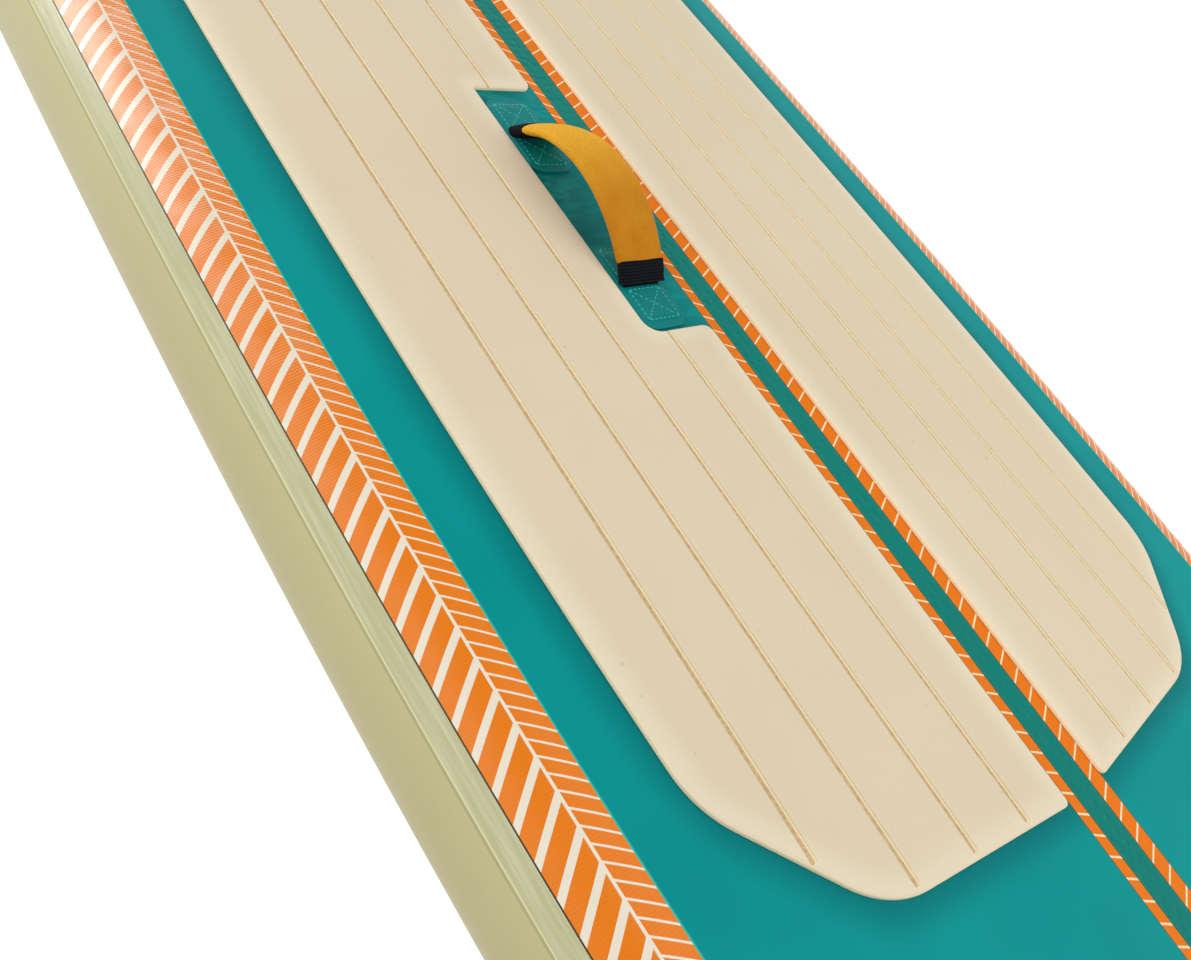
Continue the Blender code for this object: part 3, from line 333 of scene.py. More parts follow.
def addNode(tree, kind, *values, output=None, **named):
    # adds one node, such as "Mix.RGBA", or "SINE" for a Math node, feeds its sockets in their order and by
    # name, and returns one of its outputs
    kind, _, choice = ("Math." + kind if kind.isupper() else kind).partition(".")
    node = tree.nodes.new("ShaderNode" + kind)
    if choice:
        setattr(node, nodeChoice[kind], choice)
    for socket, value in zip([socket for socket in node.inputs if socket.enabled], values):
        feed(tree, socket, value)
    for name, value in named.items():
        feed(tree, node.inputs[name], value)
    if output is None:
        return next(socket for socket in node.outputs if socket.enabled)
    return node.outputs[output]


def feedShader(material, **sockets):
    shader = material.node_tree.nodes["Principled BSDF"]
    for name, value in sockets.items():
        feed(material.node_tree, shader.inputs[name.replace("_", " ")], value)
    return material


def newMaterial(name, colour, roughness, **sockets):
    # a material, addNode bound to it, and the object's own coordinates in metres
    material = bpy.data.materials.new(name)
    material.use_nodes = True
    feedShader(material, Base_Color=colour, Roughness=roughness, **sockets)
    add = partial(addNode, material.node_tree)
    return material, add, add("TexCoord", output=3)


# studio: white paper floor, pale surround and five soft lamps

studio = {
    "floorSize": 40.0,
    "floorGap": 0.0005,  # under the lowest fin
    "wallLight": 0.95,  # white walls, with a dimmer ceiling
    "ceilingLight": 0.30,
}

lamps = [  # name, place, aimed at, size, watts
    ("keyLamp", (-0.9, -2.7, 2.5), (0.1, 0, 0.1), (2.6, 1.8), 30),
    ("topLamp", (0.9, 0.7, 3.0), (0.2, 0, 0.1), (2.6, 2.6), 30),
    ("frontLamp", (2.0, 0.9, 1.6), (0.5, 0.1, 0.1), (2.0, 1.4), 13),
    ("farLamp", (-3.4, -1.4, 1.25), (-0.6, -0.3, 0.1), (1.6, 1.0), 34),
    ("sheenLamp", (-3.4, -1.4, 1.25), (-0.6, -0.3, 0.1), (1.6, 1.0), 110),  # shows in glossy faces alone
]


def paperFloor():
    # matt studio paper lit from behind: white, with a trace of tooth, soft shadows and no shine
    glow = {"Emission_Strength": 0.80, "Emission_Color": "FFFFFF"}
    material, add, place = newMaterial("studioPaper", "A6A6A4", 0.9, **glow)
    tooth = add("TexNoise", place, 250.0, 2.0)
    bump = add("Bump", 0.05, 0.0005, Height=tooth)
    return feedShader(material, Normal=bump)


def makeStudio():
    low = (0, 0, cadLow[2] - studio["floorGap"])
    ground = newPiece("studioFloor", bpy.ops.mesh.primitive_plane_add, size=studio["floorSize"], location=low)
    ground.data.materials.append(paperFloor())
    for name, place, target, size, watts in lamps:
        lamp = newPiece(name, bpy.ops.object.light_add, type="AREA", location=place)
        lamp.data.shape = "RECTANGLE"
        lamp.data.size, lamp.data.size_y = size
        lamp.data.energy = watts
        lamp.visible_diffuse = name != "sheenLamp"
        lamp.rotation_euler = (Vector(target) - Vector(place)).to_track_quat("-Z", "Y").to_euler()
    world = bpy.data.worlds.new("studioWorld")
    bpy.context.scene.world = world
    world.use_nodes = True
    tree = world.node_tree
    sky = tree.nodes["Background"]
    height = addNode(tree, "SeparateXYZ", addNode(tree, "TexCoord"), output=2)
    light = addNode(tree, "MapRange", height, 0.25, 0.75, studio["wallLight"], studio["ceilingLight"])
    feed(tree, sky.inputs["Color"], "FFFFFF")
    feed(tree, sky.inputs["Strength"], light)
    print("studio ready")


# hull form: the flat's outline seen from above, the rocker, and round rails

hull = {
    "halfLength": 1.600,
    "thickness": 0.127,
    "flatHalfWidth": 0.3494,
    "widestX": -0.22,
    "noseFullness": 2.65,
    "tailFullness": 3.0,
    "noseLift": 0.18,
    "noseLiftLength": 0.90,
    "tailLift": 0.012,
    "tailLiftLength": 0.20,
    "layer": 0.0008,
    "seamAngle": radians(42),  # the printed sheet ends and the rail band starts
    "ridgeAngle": radians(56),  # the woven skin's edge shows through the rail band
    "ridgeStep": 0.0007,
    "ridgeEdge": radians(1.4),
    "gap": 0.0003,
    "sections": 400,
    "jointPatchTurn": 2 * pi / 32,
    "jointPatchSections": 30,
}

railRadius = hull["thickness"] / 2
deckZ = hull["thickness"]
flatEnd = hull["halfLength"] - railRadius


def liftAt(x):
    noseStart = hull["halfLength"] - hull["noseLiftLength"]
    tailStart = -hull["halfLength"] + hull["tailLiftLength"]
    if x > noseStart:
        return hull["noseLift"] * ((x - noseStart) / hull["noseLiftLength"]) ** 2
    if x < tailStart:
        return hull["tailLift"] * ((tailStart - x) / hull["tailLiftLength"]) ** 2
    return 0.0


def hullEnd(forward):
    # how full the outline is and how far the flat reaches from its widest place, to the nose or to the tail
    if forward:
        return hull["noseFullness"], flatEnd - hull["widestX"]
    return hull["tailFullness"], flatEnd + hull["widestX"]


def flatHalfWidth(x):
    fullness, reach = hullEnd(x >= hull["widestX"])
    share = min(abs(x - hull["widestX"]) / reach, 1.0)
    return hull["flatHalfWidth"] * sqrt(1 - share**fullness)


def outlinePoint(turn):
    # the edge of the flat deck and its outward direction; turn 0 is the nose and pi the tail, by way of port
    along, across = cos(turn), sin(turn)
    fullness, reach = hullEnd(along > 0)
    power = 2 / fullness
    size = max(abs(along), 1e-5)
    sign = 1 if along > 0 else -1
    place = Vector((hull["widestX"] + reach * size**power * sign, hull["flatHalfWidth"] * across, 0))
    outward = Vector((hull["flatHalfWidth"] * along, reach * power * size ** (power - 1) * across, 0))
    return place, outward.normalized()


def outlineStations(first, last, count):
    # (place, outward direction, distance along the edge) at even turns
    stations, distance, before = [], 0.0, None
    for step in range(count + 1):
        place, outward = outlinePoint(first + (last - first) * step / count)
        if before is not None:
            distance += (place - before).length
        before = place
        stations.append((place, outward, distance))
    return stations


def railPoint(station, angle, radius):
    # a point of the round rail; the angle grows from the deck to the underside
    place, outward, _ = station
    height = railRadius + radius * cos(angle) + liftAt(place.x)
    return place + outward * radius * sin(angle) + Vector((0, 0, height))


print("hull form ready")


# hull materials

deckPrint = {  # metres
    "bandWidth": railRadius * hull["seamAngle"],
    "barPitch": 0.0205,
    "barShare": 0.70,  # orange part of each bar and its gap
    "barSlant": 0.85,
    "rowBlocks": 2,  # blocks of the inner row to each bar of the outer row
    "rowShare": 0.84,
    "innerRow": 0.018,  # width of the inner row
    "spineHalf": 0.0009,  # cream line where the two rows meet
    "stripHalf": 0.0115,
    "portBandEnd": 0.0262,
    "starboardBandEnd": 0.0215,
    "blockPitch": 0.0155,
    "blockLine": 0.0017,
    "blockSlant": 0.55,
    "outline": 0.0007,
    "edgeHighlightHalf": 0.0006,  # half of the painted highlight along the band's inner edge
    "weavePitch": 0.0022,  # the real grain is about 1 mm, drawn coarser to show
    "threadPitch": 0.0021,  # the same, in the printed band
    "dimplePitch": 0.0095,  # where the yarns pull on the skin
    "padShadeWidth": 0.026,  # painted shade darkens the teal this far from the pads
    "padShadeShare": 0.55,
    "padShadeUnder": 0.004,  # and this far under them
    "cornerBlend": 0.028,
    "sideBlend": 0.045,
    "patchReach": 0.093,  # the notch's painted shade ends under the handle's patches
    "rippleX": (-0.005, 0.145),  # middle and half length of the rippled cloth by the handle
    "rippleY": (-0.058, 0.034),
}


def printedPvc(name, roughness, shine):
    # calendered PVC sheet with a printed face: nearly matt on the flat, varnished on the band, with a fine
    # cloth grain, painted shade round the pads and in the notch, and painted highlights and sheen on the band
    design, pad = deckPrint, deckPad
    material, add, place = newMaterial(name, "0B8D8C", roughness, Specular_IOR_Level=shine)
    x, y = add("SeparateXYZ", place).node.outputs[:2]
    along, outward = add("SeparateXYZ", add("UVMap")).node.outputs[:2]
    distance = add("ABSOLUTE", y)

    # painted shade: the teal is darkened round the pads, by how far a point lies outside their end, their
    # corner and their side
    middleX, halfLength = (pad["frontX"] + pad["rearX"]) / 2, (pad["frontX"] - pad["rearX"]) / 2
    slope = pad["shoulderLength"] / (pad["shoulderHalfWidth"] - pad["innerEdge"])
    run = Vector((pad["cornerLength"] - pad["shoulderLength"], pad["cornerAcross"])).normalized()
    pastTip = add("SUBTRACT", add("ABSOLUTE", add("SUBTRACT", x, middleX)), halfLength)
    pastEnd = add("MULTIPLY_ADD", add("SUBTRACT", distance, pad["innerEdge"]), slope, pastTip)
    pastCorner = add("MULTIPLY_ADD", pastTip, run.y, pad["shoulderLength"] * run.y)
    sideways = add("SUBTRACT", distance, pad["shoulderHalfWidth"])
    pastCorner = add("MULTIPLY_ADD", sideways, run.x, pastCorner)
    outside = add("SMOOTH_MAX", pastEnd, pastCorner, design["cornerBlend"])
    outside = add("SMOOTH_MAX", outside, add("ADD", outward, pad["edgeInset"]), design["sideBlend"])
    padShade = add("MapRange.SMOOTHSTEP", outside, 0.0, design["padShadeWidth"], design["padShadeShare"], 0.0)
    padShade = add("MULTIPLY", padShade, add("GREATER_THAN", outside, -design["padShadeUnder"]))

    # painted shade in the pad's notch, under the handle, with painted light and shade on creases aslant
    notchX = (pad["notchFrontX"] + pad["notchRearX"]) / 2
    notchHalf = (pad["notchFrontX"] - pad["notchRearX"]) / 2
    inNotch = add("MULTIPLY", add("COMPARE", x, notchX, notchHalf), add("LESS_THAN", y, 0.0))
    inNotch = add("MULTIPLY", inNotch, add("LESS_THAN", distance, design["patchReach"]))
    notchShade = add("MapRange", distance, pad["innerEdge"], pad["notchOuter"], 0.45, 1.0)
    notchShade = add("MULTIPLY", notchShade, inNotch)
    crease = add("Mapping", place, Rotation=(0, 0, -0.75), Scale=(150.0, 48.0, 60.0))
    creaseShading = add("MapRange.SMOOTHSTEP", add("TexNoise", crease, 1.0, 2.0), 0.46, 0.66, 0.0, 1.0)
    notchShadeColour = add("Mix.RGBA", creaseShading, "066D6C", "128682")

    # a dark strip down the middle, and narrow bands beside it: slanted orange blocks with cream lines between
    strip = add("LESS_THAN", distance, design["stripHalf"])
    port = add("GREATER_THAN", y, 0.0)
    bandEnd = add("Mix", port, design["starboardBandEnd"], design["portBandEnd"])
    pastStrip = add("GREATER_THAN", distance, design["stripHalf"])
    inBand = add("MULTIPLY", pastStrip, add("LESS_THAN", distance, bandEnd))
    blockPlace = add("MULTIPLY_ADD", distance, design["blockSlant"], x)
    blockShare = add("FRACT", add("MULTIPLY_ADD", blockPlace, 1 / design["blockPitch"], 1000.0))
    block = add("GREATER_THAN", blockShare, design["blockLine"] / design["blockPitch"])
    blockTone = add("Mix.RGBA", block, "F2DDB4", "E87818")
    edges = (design["stripHalf"], bandEnd)
    outlines = [add("COMPARE", distance, edge, design["outline"] / 2) for edge in edges]
    field = add("Mix.RGBA", add("TexNoise", place, 7.0, 3.0), "008486", "049B98")
    layers = [(padShade, "006468"), (notchShade, notchShadeColour), (strip, "0B7D72"), (inBand, blockTone)]
    for share, tone in layers + [(line, "3E5B45") for line in outlines]:
        field = add("Mix.RGBA", share, field, tone)

    # the band over the rail's shoulder: small slanted blocks, a cream spine, and bars slanted the other way
    fromSpine = add("ABSOLUTE", add("SUBTRACT", outward, design["innerRow"]))
    outerRow = add("GREATER_THAN", outward, design["innerRow"])
    barPlace = add("MULTIPLY_ADD", fromSpine, design["barSlant"], along)
    perPitch = add("Mix", outerRow, design["rowBlocks"] / design["barPitch"], 1 / design["barPitch"])
    barShare = add("FRACT", add("MULTIPLY_ADD", barPlace, perPitch, 10.0))
    bar = add("LESS_THAN", barShare, add("Mix", outerRow, design["rowShare"], design["barShare"]))
    bar = add("MULTIPLY", bar, add("GREATER_THAN", fromSpine, design["spineHalf"]))

    # the cloth shows through the ink as fine lines, with a painted sheen that lightens them over the band's
    # crest and grows toward the tail
    threadsAndSheen = add("SINE", add("MULTIPLY", along, 2 * pi / design["threadPitch"]))
    threadsAndSheen = add("MULTIPLY_ADD", add("TexNoise", place, 45.0, 3.0), 3.0, threadsAndSheen)
    threadsAndSheen = add("MapRange", threadsAndSheen, 0.8, 2.8, 0.0, 0.9)
    crestSheen = add("COMPARE", outward, design["bandWidth"] * 0.55, design["bandWidth"] * 0.5)
    threadsAndSheen = add("MULTIPLY", threadsAndSheen, crestSheen)
    threadsAndSheen = add("MULTIPLY", threadsAndSheen, add("MapRange", x, 0.25, -0.45, 0.05, 1.6))
    ink, paper = add("Mix.RGBA", threadsAndSheen, "E67A00", "F3BE9C"), add("Mix.RGBA", threadsAndSheen, "E9E0CC", "DDD3C0")
    # painted shadow: a dark line along the band's outer edge, where the rail band starts
    seamShadow = add("GREATER_THAN", outward, design["bandWidth"] - design["outline"])
    band = add("Mix.RGBA", seamShadow, add("Mix.RGBA", bar, paper, ink), "4A3A22")
    colour = add("Mix.RGBA", add("GREATER_THAN", outward, 0.0), field, band)
    # painted highlight: a light teal line along the band's inner edge
    edge = add("COMPARE", outward, -design["edgeHighlightHalf"], design["edgeHighlightHalf"])
    colour = add("Mix.RGBA", edge, colour, "2BB5A8")

    # cloth grain everywhere, the pull of the yarns in the strip, and ripples by the handle
    warp, weft = (add("SINE", add("MULTIPLY", axis, 2 * pi / design["weavePitch"])) for axis in (x, y))
    dimple = add("TexVoronoi.SMOOTH_F1", place, 1 / design["dimplePitch"], Randomness=0.35)
    dimple = add("MULTIPLY", add("MapRange.SMOOTHSTEP", dimple, 0.12, 0.42, 0.0, 2.2), strip)
    rippled = add("MULTIPLY", add("COMPARE", x, *design["rippleX"]), add("COMPARE", y, *design["rippleY"]))
    rippled = add("MULTIPLY_ADD", rippled, 5.0, 0.5)
    relief = add("MULTIPLY_ADD", add("MULTIPLY", warp, weft), 0.05, dimple)
    relief = add("MULTIPLY_ADD", threadsAndSheen, 0.25, relief)
    relief = add("MULTIPLY_ADD", add("TexNoise", place, 32.0, 2.0), rippled, relief)
    bump = add("Bump", 0.5, 0.0008, Height=relief)
    return feedShader(material, Base_Color=colour, Normal=bump)


def railPvc():
    # PVC-coated polyester band, glued and rolled: satin and pale, with glue ripples along it and a soft grain
    material, add, place = newMaterial("railPvc", "BFB88E", 0.36, Specular_IOR_Level=0.3)
    along, down = add("SeparateXYZ", add("UVMap")).node.outputs[:2]
    ridge = railRadius * hull["ridgeAngle"]
    stretched = add("CombineXYZ", add("MULTIPLY", along, 9.0), add("MULTIPLY", down, 210.0))
    streaks = add("TexNoise", stretched, 1.6, 4.0, 0.6)
    # painted shade: the band is painted darker from the ridge down towards the underside
    lower = add("MapRange", down, ridge, ridge + 0.060, 0.0, 1.0)
    lower = add("MULTIPLY_ADD", add("TexNoise", place, 9.0, 4.0), 0.25, lower)
    colour = add("Mix.RGBA", lower, "C2BB8C", "A2996A")

    # above the ridge the double layer looks paler and greener, with painted highlights along its streaks
    nearSeam = add("MapRange", down, ridge + 0.0005, ridge - 0.0015, 0.0, 1.0)
    shine = add("MapRange", add("TexNoise", place, 2.6, 1.0), 0.4, 0.6, 0.3, 1.0)
    railGlints = add("MULTIPLY", add("MapRange", streaks, 0.42, 0.68, 0.0, 0.6), shine)
    colour = add("Mix.RGBA", nearSeam, colour, add("Mix.RGBA", railGlints, "B8B68B", "D2D4B2"))
    # painted highlight along the ridge, and painted shadow just below it
    edges = ((ridge - 0.0002, 0.0007, 0.55, "E2DCAE"), (ridge + 0.0016, 0.0008, 0.5, "978E62"))
    for middle, half, strength, tone in edges:
        ridgeLightAndShade = add("MULTIPLY", add("COMPARE", down, middle, half), strength)
        colour = add("Mix.RGBA", ridgeLightAndShade, colour, tone)
    depth = add("MapRange", nearSeam, 0.0, 1.0, 0.5, 1.1)
    grain = add("MULTIPLY", add("TexNoise", place, 700.0, 2.0), 0.12)
    relief = add("MULTIPLY_ADD", streaks, depth, grain)
    bump = add("Bump", 0.35, 0.0010, Height=relief)
    return feedShader(material, Base_Color=colour, Normal=bump)


def coatedFabric(name, light, dark, roughness=0.45, shine=0.3):
    # PVC-coated woven polyester: an even satin face with the weave just showing
    material, add, place = newMaterial(name, light, roughness, Specular_IOR_Level=shine)
    colour = add("Mix.RGBA", add("TexNoise", place, 11.0, 4.0), dark, light)
    weave = add("TexVoronoi", place, 520.0, Randomness=0.15)
    bump = add("Bump", 0.2, 0.0003, Height=weave)
    return feedShader(material, Base_Color=colour, Normal=bump)


# hull pieces

sheetInsets = (0.0006, 0.0012, 0.006, 0.020, 0.034, 0.048)  # rings of the flat just inside its edge


def thickSheet(piece):
    # merges an open sheet, turns its faces away from the middle of the board and gives it its thickness
    editAll(piece, merge(0.00001), faceOut)
    middle = Vector((0, 0, railRadius))
    outward = sum((p.center - middle).dot(p.normal) * p.area for p in piece.data.polygons)
    if outward < 0:
        editAll(piece, turnOver)
    applyModifier(piece, "SOLIDIFY", thickness=hull["layer"], offset=-1, use_even_offset=True)
    return piece


def hullSheet(name, seamAngle, flatAngle):
    # the sheet of the deck or of the underside: the shoulder band, then the flat across
    sections, bands, across = hull["sections"], 8, 10
    stations = outlineStations(0, 2 * pi, sections)
    angles = [seamAngle + (flatAngle - seamAngle) * step / bands for step in range(bands + 1)]
    flatZ = railRadius + railRadius * cos(flatAngle)

    def insetPoint(i, inset):
        spot = stations[i][0] - stations[i][1] * inset
        return Vector((spot.x, spot.y, flatZ + liftAt(spot.x)))

    def bandPoint(i, j):
        if j <= bands:
            return railPoint(stations[i], angles[j], railRadius)
        return insetPoint(i, sheetInsets[j - bands - 1])

    def bandChart(i, j):
        fromNose = min(stations[i][2], stations[-1][2] - stations[i][2])
        if j <= bands:
            return (fromNose, railRadius * abs(angles[j] - flatAngle))
        return (fromNose, -sheetInsets[j - bands - 1])

    def flatPoint(i, j):
        spot = insetPoint(i, sheetInsets[-1])
        return Vector((spot.x, spot.y * (1 - 2 * j / across), spot.z))

    band = loftGrid(name, sections, bands + len(sheetInsets), bandPoint, bandChart)
    flat = loftGrid(name + "Flat", sections // 2, across, flatPoint, lambda i, j: (stations[i][2], -0.5))
    return thickSheet(joinPieces(name, [band, flat]))


def railBand(name, first, last, radius, ridged):
    # a sidewall band, with a soft step where the woven skin under it ends
    count = hull["sections"] // 2 if ridged else hull["jointPatchSections"]
    stations = outlineStations(first, last, count)
    start = hull["seamAngle"] + hull["gap"] / railRadius
    ridge, edge, side = hull["ridgeAngle"], hull["ridgeEdge"], 10
    angles = [start, (start + ridge) / 2]
    angles += [ridge + edge * step / 2 for step in (-2, -1, 0, 1, 2)]
    angles += [ridge + edge + (pi - 2 * ridge - 2 * edge) * step / side for step in range(1, side)]
    angles += [pi - angle for angle in reversed(angles[:7])]
    portward = 1 if first < last else -1

    def point(i, j):
        share = clamp((min(angles[j], pi - angles[j]) - ridge + edge / 2) / edge)
        drop = hull["ridgeStep"] * easeInOut(share) if ridged else 0
        spot = railPoint(stations[i], angles[j], radius - drop)
        if ridged and i in (0, count):
            spot.y = portward * hull["gap"] / 2
        return spot

    def chart(i, j):
        return (stations[i][2], railRadius * angles[j])

    return thickSheet(loftGrid(name, count, len(angles) - 1, point, chart))


def dressHull():
    rail = railPvc()
    deck = hullSheet("deckPrint", hull["seamAngle"], 0)
    valveHole = valve["barrelRadius"] + hull["gap"]
    cutAway(deck, roundPost("valveHole", (valve["x"], 0, deckZ), valveHole, 0.02, 96))
    dress(deck, printedPvc("printedPvc", 0.42, 0.05), "board", "teal_pvc", "deck_overlay", smooth=30)
    deck.data.materials.append(printedPvc("varnishedBand", 0.30, 0.25))
    chart = deck.data.uv_layers.active.data
    for face in deck.data.polygons:
        face.material_index = int(min(chart[k].uv.y for k in face.loop_indices) > -0.0001)
    bottom = hullSheet("underSheet", pi - hull["seamAngle"], pi)
    cream = coatedFabric("underPvc", "DAD3BC", "CFC7AC")
    dress(bottom, cream, "board", "cream_pvc", "hull_overlay", smooth=30)
    for side, first in (("port", 0), ("starboard", 2 * pi)):
        band = railBand("railBand_" + side, first, pi, railRadius, True)
        dress(band, rail, "board", "rail_pvc", "outer_rail_" + side, smooth=60)
    reach = hull["jointPatchTurn"]
    patchRadius = railRadius + hull["gap"] + hull["layer"]
    for name, middle, node in (("nosePatch", 0, "nose_joint_patch"), ("tailPatch", pi, "tail_joint_patch")):
        patch = railBand(name, middle - reach, middle + reach, patchRadius, False)
        dress(patch, rail, "board", "rail_pvc", node, smooth=60)
    print("hull dressed")


# deck pads

deckPad = {
    "bottomZ": 0.1273,
    "thickness": 0.0042,
    "innerEdge": 0.0255,
    "edgeInset": 0.046,
    "frontX": 0.571,
    "rearX": -1.115,
    "shoulderLength": 0.0185,
    "shoulderHalfWidth": 0.209,
    "cornerLength": 0.117,
    "cornerAcross": 0.080,
    "cornerRadius": 0.076,
    "tipRadius": 0.0045,
    "edgeRound": 0.0028,
    "grooveFirst": 0.0725,
    "grooveSpacing": 0.056,
    "grooveCount": 4,
    "grooveWidth": 0.0052,
    "grooveDepth": 0.0014,
    "grooveSlope": 0.0009,
    "grooveEnd": 0.0035,
    "grooveOverrun": 0.005,  # where a groove runs out into the notch
    "notchFrontX": 0.139,
    "notchRearX": -0.150,
    "notchOuter": 0.090,
    "notchFrontRadius": 0.014,
    "notchMouthRadius": 0.009,
    "notchRearRadius": 0.002,
    "margin": 0.022,  # the pressed edge of the foam is a little lower, and painted lighter as a highlight
    "marginDrop": 0.0006,
    "routedMark": 0.010,  # the mapped depth that marks the floors of the grooves
    "fineCell": 0.006,  # cells along the edges
    "coarseCell": 0.040,  # cells between them
    "fineReach": 0.024,
    "fineSides": (0.20, 0.31),  # where the curved outer edge lies
}


def evaFoam():
    # brushed closed-cell EVA sheet: matt and dry with a fine nap, painted highlights at its edges, painted
    # tan shade where routed
    pad = deckPad
    material, add, place = newMaterial("evaFoam", "DDCFB6", 0.88, Sheen_Weight=0.05, Sheen_Roughness=0.5)
    depth, inside = add("SeparateXYZ", add("UVMap")).node.outputs[:2]
    # painted highlight: the foam is painted lighter across its margin
    margin = add("MapRange.SMOOTHSTEP", inside, pad["margin"], 0.0, 0.0, 0.55)
    speck = add("MapRange", add("TexNoise", place, 190.0, 0.0), 0.84, 0.88, 0.0, 0.3)
    # painted highlight on the rounded edges and the walls of the grooves
    wall = add("MapRange", depth, 0.0001, 0.0006, 0.0, 1.0)
    wallHighlight = add("Mix.RGBA", add("LESS_THAN", inside, 0.003), "F0DFBC", "F6E3BD")
    # painted shade: the floors of the grooves are painted a darker tan
    routed = add("GREATER_THAN", depth, pad["routedMark"] - 0.001)
    mottle = add("MapRange", add("TexNoise", place, 420.0, 3.0), 0.35, 0.65, 0.0, 1.0)
    grooveShadeTone = add("Mix.RGBA", mottle, "C0A273", "D6BC90")
    colour = add("Mix.RGBA", add("TexNoise", place, 5.0, 5.0, 0.6), "D6C5A5", "E0D1B4")
    for share, tone in ((margin, "ECDFC4"), (speck, "A8946F"), (wall, wallHighlight), (routed, grooveShadeTone)):
        colour = add("Mix.RGBA", share, colour, tone)
    nap, sag = add("TexNoise", place, 900.0, 3.0), add("TexNoise", place, 26.0, 1.0)
    relief = add("MULTIPLY_ADD", sag, 1.5, nap)
    bump = add("Bump", 0.25, 0.0004, Height=relief)
    return feedShader(material, Base_Color=colour, Normal=bump)


def padSide(x):
    # the pad's outer edge
    return flatHalfWidth(x) - deckPad["edgeInset"]


def padCorners(notched):
    # half of the deck's padding, seen from above, with y growing outwards
    pad = deckPad
    inner, shoulder, radius = pad["innerEdge"], pad["shoulderHalfWidth"], pad["cornerRadius"]
    frontX, rearX = pad["frontX"] - pad["cornerLength"], pad["rearX"] + pad["cornerLength"]
    front = [
        (pad["frontX"], inner, pad["tipRadius"]),
        (pad["frontX"] - pad["shoulderLength"], shoulder, radius),
        (frontX, padSide(frontX), radius),
    ]
    rear = [
        (rearX, padSide(rearX), radius),
        (pad["rearX"] + pad["shoulderLength"], shoulder, radius),
        (pad["rearX"], inner, pad["tipRadius"]),
    ]
    notch = [
        (pad["notchRearX"], inner, pad["notchMouthRadius"]),
        (pad["notchRearX"], pad["notchOuter"], pad["notchRearRadius"]),
        (pad["notchFrontX"], pad["notchOuter"], pad["notchFrontRadius"]),
        (pad["notchFrontX"], inner, pad["notchMouthRadius"]),
    ]
    steps = 60
    places = [frontX + (rearX - frontX) * step / steps for step in range(1, steps)]
    side = [(x, padSide(x), 0) for x in places if min(frontX - x, x - rearX) > radius * 0.6]
    return front + side + rear + (notch if notched else [])


def frontSetback(distance):
    # how far behind the pad's tip its front edge lies at a distance from the centreline
    pad = deckPad
    inner, shoulder, length = pad["innerEdge"], pad["shoulderHalfWidth"], pad["shoulderLength"]
    if distance <= shoulder:
        return length * (distance - inner) / (shoulder - inner)
    outer = padSide(pad["frontX"] - pad["cornerLength"])
    share = min((distance - shoulder) / (outer - shoulder), 1)
    return length + (pad["cornerLength"] - length) * share


def grooveCutter(y, frontX, rearX):
    # a routed channel: flat floor, sloping foot and round ends
    pad = deckPad
    half, around = pad["grooveWidth"] / 2, 32
    topZ = pad["bottomZ"] + pad["thickness"]
    floorZ = topZ - pad["grooveDepth"]
    levels = ((floorZ, half - pad["grooveSlope"]), (floorZ + pad["grooveSlope"], half), (topZ + 0.002, half))

    def point(i, j):
        z, radius = levels[i]
        turn = 2 * pi * (j % around + 0.5) / around
        endX = frontX - half if cos(turn) > 0 else rearX + half
        return Vector((endX + radius * cos(turn), y + radius * sin(turn), z))

    return closedLoft("groove", 2, around, point)


def evenCuts(first, last, step):
    count = max(1, round(abs(last - first) / step))
    return [first + (last - first) * k / count for k in range(count + 1)]


def gridCuts(piece, alongCuts, acrossCuts):
    # cuts a plate into cells, so that its face can be shaped and mapped
    makeActive(piece)
    bpy.ops.object.mode_set(mode="EDIT")
    for places, normal in ((alongCuts, (1, 0, 0)), (acrossCuts, (0, 1, 0))):
        for place in places:
            bpy.ops.mesh.select_all(action="SELECT")
            bpy.ops.mesh.bisect(plane_co=[place * n for n in normal], plane_no=normal, threshold=finest)
    bpy.ops.object.mode_set(mode="OBJECT")


def gridPad(piece, side):
    # fine cells along the edges, coarse ones between
    pad = deckPad
    fine, reach, corner = pad["fineCell"], pad["fineReach"], pad["cornerLength"] + 2 * pad["fineCell"]
    alongCuts = evenCuts(pad["frontX"] - corner, pad["frontX"], fine)
    alongCuts += evenCuts(pad["rearX"], pad["rearX"] + corner, fine)
    alongCuts += evenCuts(pad["rearX"] + corner, pad["frontX"] - corner, pad["coarseCell"])
    acrossCuts = evenCuts(pad["innerEdge"], pad["innerEdge"] + reach, fine)
    acrossCuts += evenCuts(*pad["fineSides"], fine)
    if side < 0:
        alongCuts += evenCuts(pad["notchFrontX"], pad["notchFrontX"] + reach, fine)
        alongCuts += evenCuts(pad["notchRearX"] - reach, pad["notchRearX"], fine)
        acrossCuts += evenCuts(pad["notchOuter"], pad["notchOuter"] + reach, fine)
    gridCuts(piece, alongCuts, [side * y for y in acrossCuts])


def edgeDistance(outline, spot):
    # how far a point lies from a closed outline
    nearest = 1.0
    for (ax, ay), (bx, by) in zip(outline, outline[1:] + outline[:1]):
        runX, runY, toX, toY = bx - ax, by - ay, spot.x - ax, spot.y - ay
        share = clamp((toX * runX + toY * runY) / (runX * runX + runY * runY))
        nearest = min(nearest, (toX - share * runX) ** 2 + (toY - share * runY) ** 2)
    return sqrt(nearest)


